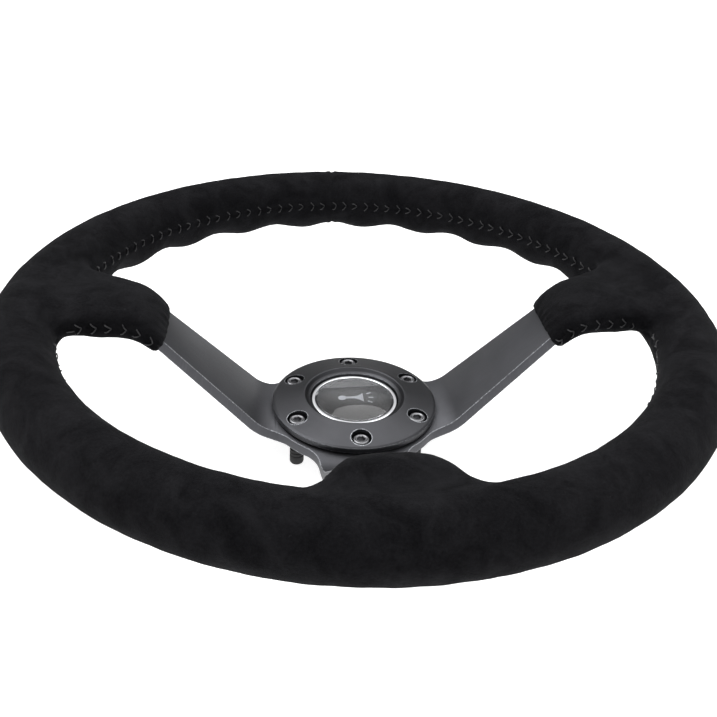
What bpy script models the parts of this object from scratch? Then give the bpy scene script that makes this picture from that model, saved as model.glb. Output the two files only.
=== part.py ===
"""A dished three-spoke competition steering wheel with a suede grip and a sprung horn button.

Metres, +Z towards the driver. The wheel lies on the rubber caps of its six hub screws, so z = 0 is the
lowest point of those caps and the Z axis is the wheel's own axis. One spoke points along -Y and the
other two along +X and -X; +Y is twelve o'clock.
"""

from math import asin, atan2, cos, pi, radians, sin, sqrt, tan

import bmesh
import bpy
import numpy as np
from mathutils import Matrix, Vector

# Overall sizes
RIM_DIAMETER = 0.350
GRIP_DIAMETER = 0.032
DISH = 0.0532  # hub face of the spokes up to the middle of the rim

# Clearances
CUT_MARGIN = 0.002  # how far a cutter passes the surface it cuts
MERGE_DISTANCE = 0.000001
TOUCH_GAP = 0.0003  # between pieces that touch, or that one is moulded round
SCREW_GAP = 0.0003  # round a screw or rivet in its hole
SLIDE_GAP = 0.0006  # round the horn button in its bore
GLUE_GAP = 0.0005  # between the foam and the cover glued over it

# Spokes: one bent plate
PLATE_THICKNESS = 0.005
HUB_RADIUS = 0.044
HUB_FILLET = 0.016  # in plan, where a spoke leaves the hub
SPOKE_ANGLES = (0, 180, 270)
SPOKE_ROOT = 0.063  # distance from the axis at which the spoke is SPOKE_ROOT_HALF wide to a side
SPOKE_ROOT_HALF = 0.0190
SPOKE_TIP = 0.095  # from here to the rim the edges are parallel
SPOKE_TIP_HALF = 0.0153
# For each spoke, where the level hub, carried on, would meet its slope, and where the slope, carried on,
# would meet the level end at the rim. The bottom spoke keeps low for longer and rises nearer the rim.
SPOKE_BENDS = ((0.0467, 0.1059), (0.0467, 0.1059), (0.0550, 0.1265))
BEND_RADIUS = 0.022
EDGE_CHAMFER = 0.0006

# Rim core
HOOP_WIDTH = 0.014
HOOP_THICKNESS = 0.004
SPOKE_END_RISE = 0.0045  # the spokes' ends lie on the hoop, which is near the middle of the grip
SPOKE_OVERHANG = 0.0045  # spoke end past the middle of the hoop
RIVET_RADIUS = 0.002
RIVET_HEAD_RADIUS = 0.0035
RIVET_HEAD_HEIGHT = 0.0014
RIVET_CROWN = 0.72  # flat top of a rivet's head, as a share of the head's radius
RIVET_SPREAD = 0.009  # to each side of the spoke's centre line

# Grip
COVER_THICKNESS = 0.0013
BOOT_LENGTHS = (0.0475, 0.0475, 0.024)  # rim's inner edge to the mouth, for each spoke
BOOT_OPENING = 0.010  # how far past the mouth the cutter for the cover's hollow reaches
# Share of the boot's length from its mouth, then how far it stands beyond the spoke's edge and faces.
BOOT_SHAPE = (
    (0.00, 0.0050, 0.0060),
    (0.25, 0.0058, 0.0068),
    (0.50, 0.0078, 0.0076),
    (0.75, 0.0115, 0.0082),
    (1.00, 0.0195, 0.0086),
    (1.20, 0.0290, 0.0030),
)
BOOT_SQUARENESS = 2.7  # exponent of the boot's section, 2 for an ellipse
LACE_RADIUS = 0.0005
LACE_END_GAP = 0.006  # from the last stitch to the flare of a boot

# Hub ring and its screws
BOLT_CIRCLE_RADIUS = 0.035
BOLT_ANGLES = (30, 90, 150, 210, 270, 330)
RING_RADIUS = 0.0423
RING_FLOOR = 0.0008  # metal under a screw head
# Upper side of the ring: share of its width from the button's bore, height above the spokes' hub face.
RING_SECTION = (
    (0.000, 0.0056),
    (0.062, 0.0062),
    (0.119, 0.0072),
    (0.160, 0.0077),
    (0.211, 0.0075),
    (0.320, 0.0068),
    (0.938, 0.0045),
    (1.000, 0.0039),
)
RING_RELIEF_WIDTH = 0.0021  # undercut round the ring's foot, where the spokes start to rise
RING_RELIEF_HEIGHT = 0.0010
COUNTERBORE_RADIUS = 0.0051
SCREW_RADIUS = 0.0025
SCREW_LENGTH = 0.020
SCREW_HEAD_RADIUS = 0.00425
SCREW_HEAD_HEIGHT = 0.0035
SCREW_CHAMFER = 0.0004
SOCKET_FLATS = 0.004
SOCKET_DEPTH = 0.002
CAP_END = 0.0027
CAP_WALL = 0.0008
CAP_LENGTH = 0.009
CAP_ROUNDING = 0.0010

# Horn button
BUTTON_BORE = 0.0229
BUTTON_TRAVEL = 0.0025
LIP_WIDTH = 0.0015
LIP_HEIGHT = 0.002
BUTTON_WALL = 0.0013
BUTTON_ROOF = 0.0022  # between its ceiling and the badge's seat
BUTTON_SHOULDER = 0.0009  # lip's top up to the seat of the trim ring
SPIGOT_HEIGHT = 0.0007
CUP_WALL = 0.0012
CUP_DEPTH = 0.0118  # top of its flange down to its floor
CUP_FLANGE_WIDTH = 0.0018
CUP_FLANGE_THICKNESS = 0.0013
TRIM_WALL = 0.0024
TRIM_HEIGHT = 0.0019
TRIM_CHAMFER = 0.0005
BADGE_THICKNESS = 0.0005
LENS_EDGE = 0.0004
LENS_DOME = 0.0022
CONTACT_RADIUS = 0.010
CONTACT_THICKNESS = 0.0008
CONTACT_LEFT = 0.0002  # air left between the contacts at full travel
STUD_RADIUS = 0.0022
STUD_FLANGE_RADIUS = 0.0036
STUD_FLANGE_THICKNESS = 0.001
STUD_THREAD_RADIUS = 0.0015
STUD_THREAD_END = 0.0004
NUT_FLATS = 0.0055
NUT_THICKNESS = 0.0022
GROUND_PLATE_RADIUS = 0.016
GROUND_PLATE_BORE = 0.0055
GROUND_PLATE_THICKNESS = 0.0006
GROUND_RIVET_X = -0.012
GROUND_RIVET_RADIUS = 0.00125
GROUND_RIVET_HEAD = 0.0024
GROUND_RIVET_HEAD_HEIGHT = 0.0008
TERMINAL_WIDTH = 0.0063
TERMINAL_THICKNESS = 0.0008
TERMINAL_FOOT = 0.0030  # beyond its hole
TERMINAL_REACH = 0.0065  # hole to the outside of its blade
TERMINAL_DROP = 0.0055
SPRING_RADIUS = 0.008
SPRING_WIRE = 0.0004
SPRING_TURNS = 4.5

# Fineness
RIM_STEPS = 48
TUBE_STEPS = 12
TURN_STEPS = 36
SMALL_STEPS = 12
BOOT_STEPS = 14
BEND_STEPS = 4
FILLET_STEPS = 5
HUB_STEPS = 6
LENS_STEPS = 4
SPRING_STEPS = 9
LACE_STEPS = 15

# Derived heights, from the screw caps up
SCREW_TIP_Z = CAP_END + TOUCH_GAP
SCREW_SEAT_Z = SCREW_TIP_Z + SCREW_LENGTH
FACE_Z = SCREW_SEAT_Z - RING_FLOOR - 2 * TOUCH_GAP
RIM_Z = FACE_Z + DISH
SPOKE_END_Z = RIM_Z + SPOKE_END_RISE
HOOP_TOP_Z = SPOKE_END_Z - PLATE_THICKNESS / 2 - TOUCH_GAP
RING_Z = FACE_Z + TOUCH_GAP
FLANGE_TOP_Z = RING_Z + CUP_FLANGE_THICKNESS
CUP_FLOOR_Z = FLANGE_TOP_Z - CUP_DEPTH
CUP_UNDER_Z = CUP_FLOOR_Z - CUP_WALL
LIP_TOP_Z = FLANGE_TOP_Z
SHOULDER_Z = LIP_TOP_Z + BUTTON_SHOULDER
SPIGOT_TOP_Z = SHOULDER_Z + SPIGOT_HEIGHT
BADGE_Z = SPIGOT_TOP_Z + TOUCH_GAP
LENS_Z = BADGE_Z + BADGE_THICKNESS + TOUCH_GAP
BUTTON_CEILING_Z = SPIGOT_TOP_Z - BUTTON_ROOF
CONTACT_Z = BUTTON_CEILING_Z - TOUCH_GAP - CONTACT_THICKNESS
STUD_TOP_Z = CONTACT_Z - BUTTON_TRAVEL - CONTACT_LEFT
GROUND_PLATE_TOP_Z = CUP_FLOOR_Z + TOUCH_GAP + GROUND_PLATE_THICKNESS
TERMINAL_TOP_Z = CUP_UNDER_Z - TOUCH_GAP

# Derived radii
RIM_RADIUS = (RIM_DIAMETER - GRIP_DIAMETER) / 2
RIM_INNER = RIM_RADIUS - GRIP_DIAMETER / 2
SPOKE_END = RIM_RADIUS + SPOKE_OVERHANG
LIP_RADIUS = BUTTON_BORE + LIP_WIDTH
CUP_INNER = LIP_RADIUS + SLIDE_GAP
CUP_OUTER = CUP_INNER + CUP_WALL
HUB_BORE = CUP_OUTER + SLIDE_GAP
FLANGE_RADIUS = HUB_BORE + CUP_FLANGE_WIDTH
BUTTON_RADIUS = BUTTON_BORE - SLIDE_GAP
TRIM_INNER = BUTTON_RADIUS - TRIM_WALL
INLAY_RADIUS = TRIM_INNER - TOUCH_GAP


def clear_scene():
    for old in list(bpy.data.objects):
        bpy.data.objects.remove(old)


def new_collection(name):
    made = bpy.data.collections.new(name)
    bpy.context.scene.collection.children.link(made)
    return made


def material(name, colour, metallic, roughness):
    made = bpy.data.materials.new(name)
    made.use_nodes = True
    shader = made.node_tree.nodes["Principled BSDF"]
    shader.inputs["Base Color"].default_value = (*colour, 1.0)
    shader.inputs["Metallic"].default_value = metallic
    shader.inputs["Roughness"].default_value = roughness
    made.diffuse_color = (*colour, 1.0)
    return made


def add_part(name, mesh, finish):
    part = bpy.data.objects.new(name, mesh)
    PARTS.objects.link(part)
    part.data.materials.append(finish)
    return part


def add_cutter(name, mesh):
    cutter = bpy.data.objects.new(name, mesh)
    CUTTERS.objects.link(cutter)
    cutter.hide_render = True
    cutter.display_type = "WIRE"
    return cutter


def boolean(part, other, operation="DIFFERENCE"):
    change = part.modifiers.new(f"{operation.lower()} {other.name}", "BOOLEAN")
    change.operation = operation
    change.solver = "EXACT"
    change.object = other


def at(radius, angle, z=0.0):
    """The point at this distance from the wheel's axis, angle in degrees."""
    return Vector((radius * cos(radians(angle)), radius * sin(radians(angle)), z))


# Turned pieces


def profile_mesh(name, profile):
    """A profile of (radius, height) pairs as edges, ordered so that a Screw faces outwards."""
    ring = list(profile)
    area = sum(a[0] * b[1] - b[0] * a[1] for a, b in zip(ring, ring[1:] + ring[:1]))
    if area > 0:
        ring.reverse()
    if ring[0][0] > 0 or ring[-1][0] > 0:
        on_axis = [i for i, point in enumerate(ring) if point[0] == 0]
        if on_axis:
            start = next(i for i in on_axis if ring[i - 1][0] == 0)
            ring = ring[start:] + ring[:start]
    count = len(ring)
    closed = ring[0][0] > 0
    edges = [(i, (i + 1) % count) for i in range(count if closed else count - 1)]
    mesh = bpy.data.meshes.new(name)
    mesh.from_pydata([(r, 0.0, z) for r, z in ring], edges, [])
    return mesh


def turn(item, steps):
    screw = item.modifiers.new("turned", "SCREW")
    screw.steps = steps
    screw.render_steps = steps
    screw.use_merge_vertices = True
    screw.merge_threshold = 10 * MERGE_DISTANCE
    screw.use_smooth_shade = True
    return item


def turned_part(name, profile, finish, steps=TURN_STEPS, place=(0, 0, 0)):
    part = turn(add_part(name, profile_mesh(name, profile), finish), steps)
    part.location = place
    return part


def turned_cutter(name, profile, steps=TURN_STEPS, place=(0, 0, 0)):
    cutter = turn(add_cutter(name, profile_mesh(name, profile)), steps)
    cutter.location = place
    return cutter


def disc(radius, low, high):
    return [(0, high), (radius, high), (radius, low), (0, low)]


def band(inner, outer, low, high):
    return [(inner, high), (outer, high), (outer, low), (inner, low)]


def hexagon_cutter(name, flats, low, high, place):
    mesh = bpy.data.meshes.new(name)
    shape = bmesh.new()
    corner = flats / sqrt(3)
    middle = Matrix.Translation((0, 0, (low + high) / 2))
    bmesh.ops.create_cone(
        shape,
        cap_ends=True,
        segments=6,
        radius1=corner,
        radius2=corner,
        depth=high - low,
        matrix=middle,
    )
    shape.to_mesh(mesh)
    shape.free()
    cutter = add_cutter(name, mesh)
    cutter.location = place
    return cutter


# Spokes


def bend_stations(bends, end):
    """(distance from axis, height) of the plate's middle: level, up the slope, level at the rim."""
    bend_in, bend_out = bends
    middle = FACE_Z - PLATE_THICKNESS / 2
    slope = atan2(SPOKE_END_Z - middle, bend_out - bend_in)
    reach = BEND_RADIUS * tan(slope / 2)
    stations = [(0.0, middle)]
    for i in range(BEND_STEPS + 1):
        turn_angle = slope * i / BEND_STEPS
        away = BEND_RADIUS * sin(turn_angle)
        rise = BEND_RADIUS * (1 - cos(turn_angle))
        stations.append((bend_in - reach + away, middle + rise))
    for i in range(BEND_STEPS, -1, -1):
        turn_angle = slope * i / BEND_STEPS
        away = BEND_RADIUS * sin(turn_angle)
        rise = BEND_RADIUS * (1 - cos(turn_angle))
        stations.append((bend_out + reach - away, SPOKE_END_Z - rise))
    stations.append((end, SPOKE_END_Z))
    return stations


def spoke_height(distance, bends):
    across, up = zip(*bend_stations(bends, 1.0))
    return float(np.interp(distance, across, up))


def spoke_half(distance):
    """Half the spoke's width at this distance from the wheel's axis."""
    taper = (SPOKE_ROOT_HALF - SPOKE_TIP_HALF) / (SPOKE_TIP - SPOKE_ROOT)
    return SPOKE_ROOT_HALF - taper * (min(distance, SPOKE_TIP) - SPOKE_ROOT)


def spoke_edge(grow):
    """Upper edge of the +X spoke in plan, from its end back to the hub, grown sideways and outwards."""
    taper = atan2(SPOKE_ROOT_HALF - SPOKE_TIP_HALF, SPOKE_TIP - SPOKE_ROOT)
    along = Vector((cos(taper), -sin(taper)))
    out = Vector((sin(taper), cos(taper)))
    fillet = HUB_FILLET - grow
    hub = HUB_RADIUS + grow
    offset = out.dot(Vector((SPOKE_ROOT, SPOKE_ROOT_HALF))) + grow + fillet
    centre = out * offset + along * sqrt((hub + fillet) ** 2 - offset**2)
    first = -pi / 2 - taper
    last = atan2(-centre.y, -centre.x)
    points = [Vector((SPOKE_END + grow, SPOKE_TIP_HALF + grow))]
    points.append(Vector((SPOKE_TIP, SPOKE_TIP_HALF + grow)))
    for i in range(FILLET_STEPS + 1):
        angle = first + (last - first) * i / FILLET_STEPS
        points.append(centre + Vector((cos(angle), sin(angle))) * fillet)
    return points


def plate_outline(grow):
    """The flat plate's outline, anticlockwise from the spoke at 0 degrees."""
    upper = spoke_edge(grow)
    lower = [Vector((p.x, -p.y)) for p in reversed(upper)]
    hub_start = atan2(upper[-1].y, upper[-1].x)
    outline = []
    for number, angle in enumerate(SPOKE_ANGLES):
        spin = Matrix.Rotation(radians(angle), 2)
        outline += [spin @ p for p in lower + upper]
        following = SPOKE_ANGLES[(number + 1) % len(SPOKE_ANGLES)]
        gap = radians((following - angle) % 360) - 2 * hub_start
        steps = max(1, round(HUB_STEPS * gap / (pi / 2)))
        for i in range(1, steps):
            turn_angle = radians(angle) + hub_start + gap * i / steps
            outline.append(Vector((cos(turn_angle), sin(turn_angle))) * (HUB_RADIUS + grow))
    return outline


def plate_mesh(name, grow):
    """The plate's middle surface: the outline cut across at each bend, then raised along the spokes."""
    shape = bmesh.new()
    shape.faces.new([shape.verts.new((p.x, p.y, 0)) for p in plate_outline(grow)])
    for angle, bends in zip(SPOKE_ANGLES, SPOKE_BENDS):
        along = at(1, angle)
        for distance, _ in bend_stations(bends, SPOKE_END)[1:-1]:
            everything = shape.verts[:] + shape.edges[:] + shape.faces[:]
            bmesh.ops.bisect_plane(
                shape, geom=everything, dist=MERGE_DISTANCE, plane_co=along * distance, plane_no=along
            )
    for vert in shape.verts:
        reaches = [vert.co.dot(at(1, angle)) for angle in SPOKE_ANGLES]
        distance = max(reaches)
        vert.co.z = spoke_height(distance, SPOKE_BENDS[reaches.index(distance)])
    mesh = bpy.data.meshes.new(name)
    shape.to_mesh(mesh)
    shape.free()
    return mesh


def thicken(item, thickness):
    wall = item.modifiers.new("thickness", "SOLIDIFY")
    wall.thickness = thickness
    wall.offset = 0.0
    wall.use_even_offset = True
    return item


def rivet_places():
    for angle in SPOKE_ANGLES:
        side = at(RIVET_SPREAD, angle + 90)
        for sign in (-1, 1):
            yield at(RIM_RADIUS, angle) + side * sign


def spoke_plate():
    plate = thicken(add_part("spoke_plate", plate_mesh("spoke_plate", 0.0), ALLOY), PLATE_THICKNESS)
    chamfer = plate.modifiers.new("chamfer", "BEVEL")
    chamfer.width = EDGE_CHAMFER
    chamfer.segments = 1
    chamfer.limit_method = "ANGLE"
    chamfer.angle_limit = radians(60)
    through = (FACE_Z - 2 * PLATE_THICKNESS, FACE_Z + PLATE_THICKNESS)
    boolean(plate, turned_cutter("hub_bore", disc(HUB_BORE, *through)))
    for number, angle in enumerate(BOLT_ANGLES, 1):
        hole = disc(SCREW_RADIUS + SCREW_GAP, *through)
        place = at(BOLT_CIRCLE_RADIUS, angle)
        boolean(plate, turned_cutter(f"hub_hole_{number}", hole, SMALL_STEPS, place))
    for cutter in RIVET_HOLES:
        boolean(plate, cutter)


# Rim


def rivet_hole_cutters():
    """One for each rivet, through the spoke's end and the hoop."""
    low = HOOP_TOP_Z - 2 * HOOP_THICKNESS
    hole = disc(RIVET_RADIUS + SCREW_GAP, low, SPOKE_END_Z + PLATE_THICKNESS)
    return [
        turned_cutter(f"rivet_hole_{number}", hole, SMALL_STEPS, place)
        for number, place in enumerate(rivet_places(), 1)
    ]


def core_hoop():
    inner = RIM_RADIUS - HOOP_WIDTH / 2
    section = band(inner, inner + HOOP_WIDTH, HOOP_TOP_Z - HOOP_THICKNESS, HOOP_TOP_Z)
    hoop = turned_part("core_hoop", section, STEEL, RIM_STEPS)
    for cutter in RIVET_HOLES:
        boolean(hoop, cutter)


def spoke_rivets():
    top = SPOKE_END_Z + PLATE_THICKNESS / 2 + TOUCH_GAP
    bottom = HOOP_TOP_Z - HOOP_THICKNESS - TOUCH_GAP
    profile = [
        (0, top + RIVET_HEAD_HEIGHT),
        (RIVET_HEAD_RADIUS * RIVET_CROWN, top + RIVET_HEAD_HEIGHT),
        (RIVET_HEAD_RADIUS, top),
        (RIVET_RADIUS, top),
        (RIVET_RADIUS, bottom),
        (RIVET_HEAD_RADIUS, bottom),
        (RIVET_HEAD_RADIUS * RIVET_CROWN, bottom - RIVET_HEAD_HEIGHT),
        (0, bottom - RIVET_HEAD_HEIGHT),
    ]
    for number, place in enumerate(rivet_places(), 1):
        turned_part(f"spoke_rivet_{number}", profile, STEEL, SMALL_STEPS, place)


def rim_tube(inset):
    """The rim's round tube as a mesh, this far inside the cover's surface."""
    bpy.ops.mesh.primitive_torus_add(
        major_segments=RIM_STEPS,
        minor_segments=TUBE_STEPS,
        major_radius=RIM_RADIUS,
        minor_radius=GRIP_DIAMETER / 2 - inset,
        location=(0, 0, 0),
    )
    made = bpy.context.object
    mesh = made.data
    mesh.transform(Matrix.Translation((0, 0, RIM_Z)))
    mesh.shade_smooth()
    bpy.data.objects.remove(made)
    return mesh


def boot_section(distance, bends, side, face, inset):
    """One closed ring of points round the +X spoke."""
    near, far = distance - PLATE_THICKNESS / 2, distance + PLATE_THICKNESS / 2
    lean = atan2(spoke_height(far, bends) - spoke_height(near, bends), far - near)
    centre = Vector((distance, 0, spoke_height(distance, bends)))
    up = Vector((-sin(lean), 0, cos(lean)))
    half_width = spoke_half(distance) + side - inset
    half_height = PLATE_THICKNESS / 2 + face - inset
    ring = []
    for i in range(BOOT_STEPS):
        angle = 2 * pi * (i + 0.5) / BOOT_STEPS
        y = abs(cos(angle)) ** (2 / BOOT_SQUARENESS) * (1 if cos(angle) > 0 else -1)
        z = abs(sin(angle)) ** (2 / BOOT_SQUARENESS) * (1 if sin(angle) > 0 else -1)
        ring.append(centre + Vector((0, y * half_width, 0)) + up * z * half_height)
    return ring


def boot_cutter(name, spoke, inset, reach):
    """A loft round one spoke, from this far past its mouth into the rim's tube."""
    angle, bends, length = SPOKE_ANGLES[spoke], SPOKE_BENDS[spoke], BOOT_LENGTHS[spoke]
    mouth = RIM_INNER - length
    shape = bmesh.new()
    spin = Matrix.Rotation(radians(angle), 3, "Z")
    stations = [(mouth + share * length, side, face) for share, side, face in BOOT_SHAPE]
    if reach:
        stations.insert(0, (mouth - reach, *BOOT_SHAPE[0][1:]))
    rings = []
    for distance, side, face in stations:
        points = boot_section(distance, bends, side, face, inset)
        rings.append([shape.verts.new(spin @ p) for p in points])
    for ring, following in zip(rings, rings[1:]):
        for i in range(BOOT_STEPS):
            j = (i + 1) % BOOT_STEPS
            shape.faces.new((ring[i], ring[j], following[j], following[i]))
    shape.faces.new(list(reversed(rings[0])))
    shape.faces.new(rings[-1])
    bmesh.ops.recalc_face_normals(shape, faces=shape.faces[:])
    bmesh.ops.triangulate(shape, faces=shape.faces[:], quad_method="FIXED")
    mesh = bpy.data.meshes.new(name)
    shape.to_mesh(mesh)
    shape.free()
    mesh.shade_smooth()
    return add_cutter(name, mesh)


def add_boots(item, label, inset, reach=0.0):
    for spoke, angle in enumerate(SPOKE_ANGLES):
        boolean(item, boot_cutter(f"{label}_boot_{angle}", spoke, inset, reach), "UNION")
    return item


def suede_cover():
    cover = add_boots(add_part("suede_cover", rim_tube(0.0), SUEDE), "cover", 0.0)
    hollow = add_cutter("cover_hollow", rim_tube(COVER_THICKNESS))
    boolean(cover, add_boots(hollow, "hollow", COVER_THICKNESS, BOOT_OPENING))


def rim_foam():
    inset = COVER_THICKNESS + GLUE_GAP
    foam = add_boots(add_part("rim_foam", rim_tube(inset), FOAM), "foam", inset)
    slot = add_cutter("spoke_slot", plate_mesh("spoke_slot", TOUCH_GAP))
    boolean(foam, thicken(slot, PLATE_THICKNESS + 2 * TOUCH_GAP))
    inner = RIM_RADIUS - HOOP_WIDTH / 2 - TOUCH_GAP
    outer = RIM_RADIUS + HOOP_WIDTH / 2 + TOUCH_GAP
    bottom = HOOP_TOP_Z - HOOP_THICKNESS
    channel = band(inner, outer, bottom - TOUCH_GAP, HOOP_TOP_Z + 2 * TOUCH_GAP)
    boolean(foam, turned_cutter("hoop_channel", channel, RIM_STEPS))
    low = bottom - RIVET_HEAD_HEIGHT - 3 * TOUCH_GAP
    high = SPOKE_END_Z + PLATE_THICKNESS / 2 + RIVET_HEAD_HEIGHT + 3 * TOUCH_GAP
    pocket = disc(RIVET_HEAD_RADIUS + TOUCH_GAP, low, high)
    for number, place in enumerate(rivet_places(), 1):
        boolean(foam, turned_cutter(f"rivet_pocket_{number}", pocket, SMALL_STEPS, place))


def lacing():
    """The thread that closes the cover, along the inside of the rim between the boots."""
    facet = cos(pi / RIM_STEPS)
    radius = RIM_INNER * facet - TOUCH_GAP - LACE_RADIUS
    flare = SPOKE_TIP_HALF + BOOT_SHAPE[-2][1] + LACE_END_GAP
    stop = asin(flare / radius)
    names = ("lacing_upper", "lacing_lower_left", "lacing_lower_right")
    for number, name in enumerate(names):
        start = radians(SPOKE_ANGLES[number]) + stop
        span = radians((SPOKE_ANGLES[(number + 1) % 3] - SPOKE_ANGLES[number]) % 360) - 2 * stop
        steps = round(LACE_STEPS * span)
        thread = bpy.data.curves.new(name, "CURVE")
        thread.dimensions = "3D"
        thread.bevel_depth = LACE_RADIUS
        thread.bevel_resolution = 0
        thread.use_fill_caps = True
        line = thread.splines.new("POLY")
        line.points.add(steps)
        for i, point in enumerate(line.points):
            angle = start + span * i / steps
            point.co = (radius * cos(angle), radius * sin(angle), RIM_Z, 1)
        add_part(name, thread, THREAD)


# Hub ring and screws


def hub_ring():
    recess_top = FLANGE_TOP_Z + TOUCH_GAP
    width = RING_RADIUS - BUTTON_BORE
    profile = [(BUTTON_BORE + share * width, FACE_Z + height) for share, height in RING_SECTION]
    profile += [
        (RING_RADIUS, RING_Z + RING_RELIEF_HEIGHT),
        (RING_RADIUS - RING_RELIEF_WIDTH, RING_Z),
        (FLANGE_RADIUS + TOUCH_GAP, RING_Z),
        (FLANGE_RADIUS + TOUCH_GAP, recess_top),
        (BUTTON_BORE, recess_top),
    ]
    ring = turned_part("hub_ring", profile, ANODISED)
    head_seat = SCREW_SEAT_Z - TOUCH_GAP
    above = FACE_Z + max(height for _, height in RING_SECTION) + CUT_MARGIN
    below = FACE_Z - CUT_MARGIN
    hole = [
        (0, above),
        (COUNTERBORE_RADIUS, above),
        (COUNTERBORE_RADIUS, head_seat),
        (SCREW_RADIUS + SCREW_GAP, head_seat),
        (SCREW_RADIUS + SCREW_GAP, below),
        (0, below),
    ]
    for number, angle in enumerate(BOLT_ANGLES, 1):
        place = at(BOLT_CIRCLE_RADIUS, angle)
        boolean(ring, turned_cutter(f"counterbore_{number}", hole, SMALL_STEPS, place))


def hub_screws():
    top = SCREW_SEAT_Z + SCREW_HEAD_HEIGHT
    profile = [
        (0, top),
        (SCREW_HEAD_RADIUS - SCREW_CHAMFER, top),
        (SCREW_HEAD_RADIUS, top - SCREW_CHAMFER),
        (SCREW_HEAD_RADIUS, SCREW_SEAT_Z),
        (SCREW_RADIUS, SCREW_SEAT_Z),
        (SCREW_RADIUS, SCREW_TIP_Z + SCREW_CHAMFER),
        (SCREW_RADIUS - SCREW_CHAMFER, SCREW_TIP_Z),
        (0, SCREW_TIP_Z),
    ]
    for number, angle in enumerate(BOLT_ANGLES, 1):
        place = at(BOLT_CIRCLE_RADIUS, angle)
        screw = turned_part(f"hub_screw_{number}", profile, BLACK_STEEL, SMALL_STEPS, place)
        low, high = top - SOCKET_DEPTH, top + SOCKET_DEPTH
        socket = hexagon_cutter(f"socket_{number}", SOCKET_FLATS, low, high, place)
        boolean(screw, socket)


def screw_caps():
    bore = SCREW_RADIUS + SCREW_GAP
    outer = bore + CAP_WALL
    profile = [
        (0, CAP_END),
        (bore, CAP_END),
        (bore, CAP_LENGTH),
        (outer, CAP_LENGTH),
        (outer, CAP_ROUNDING),
        (outer - 0.3 * CAP_ROUNDING, 0.3 * CAP_ROUNDING),
        (outer - CAP_ROUNDING, 0),
        (0, 0),
    ]
    for number, angle in enumerate(BOLT_ANGLES, 1):
        place = at(BOLT_CIRCLE_RADIUS, angle)
        turned_part(f"screw_cap_{number}", profile, RUBBER, SMALL_STEPS, place)


# Horn button


def horn_cup():
    profile = [
        (CUP_INNER, FLANGE_TOP_Z),
        (FLANGE_RADIUS, FLANGE_TOP_Z),
        (FLANGE_RADIUS, RING_Z),
        (CUP_OUTER, RING_Z),
        (CUP_OUTER, CUP_UNDER_Z),
        (0, CUP_UNDER_Z),
        (0, CUP_FLOOR_Z),
        (CUP_INNER, CUP_FLOOR_Z),
    ]
    cup = turned_part("horn_cup", profile, BLACK_PLASTIC)
    through = (CUP_UNDER_Z - CUP_WALL, CUP_FLOOR_Z + CUP_WALL)
    stud_hole = disc(STUD_THREAD_RADIUS + SCREW_GAP, *through)
    boolean(cup, turned_cutter("cup_stud_hole", stud_hole, SMALL_STEPS))
    boolean(cup, ground_rivet_hole("cup_rivet_hole", *through))


def ground_rivet_hole(name, low, high):
    hole = disc(GROUND_RIVET_RADIUS + SCREW_GAP, low, high)
    return turned_cutter(name, hole, SMALL_STEPS, (GROUND_RIVET_X, 0, 0))


def horn_button():
    lip_bottom = LIP_TOP_Z - LIP_HEIGHT
    skirt = BUTTON_RADIUS - BUTTON_WALL
    profile = [
        (0, SPIGOT_TOP_Z),
        (INLAY_RADIUS, SPIGOT_TOP_Z),
        (INLAY_RADIUS, SHOULDER_Z),
        (BUTTON_RADIUS, SHOULDER_Z),
        (BUTTON_RADIUS, LIP_TOP_Z),
        (LIP_RADIUS, LIP_TOP_Z),
        (LIP_RADIUS, lip_bottom),
        (skirt, lip_bottom),
        (skirt, BUTTON_CEILING_Z),
        (0, BUTTON_CEILING_Z),
    ]
    turned_part("button_body", profile, BLACK_PLASTIC)


def trim_ring():
    bottom = SHOULDER_Z + TOUCH_GAP
    top = bottom + TRIM_HEIGHT
    profile = [
        (TRIM_INNER, bottom),
        (TRIM_INNER, top - TRIM_CHAMFER),
        (TRIM_INNER + TRIM_CHAMFER, top),
        (BUTTON_RADIUS - TRIM_CHAMFER, top),
        (BUTTON_RADIUS, top - TRIM_CHAMFER),
        (BUTTON_RADIUS, bottom),
    ]
    turned_part("button_trim_ring", profile, CHROME)


def badge_and_lens():
    badge = disc(INLAY_RADIUS, BADGE_Z, BADGE_Z + BADGE_THICKNESS)
    turned_part("button_badge", badge, BADGE_BLACK)
    dome = [(0, LENS_Z), (INLAY_RADIUS, LENS_Z)]
    for i in range(LENS_STEPS + 1):
        share = 1 - i / LENS_STEPS
        height = LENS_EDGE + LENS_DOME * (1 - share**2)
        dome.append((INLAY_RADIUS * share, LENS_Z + height))
    turned_part("button_lens", dome, LENS)


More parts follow.
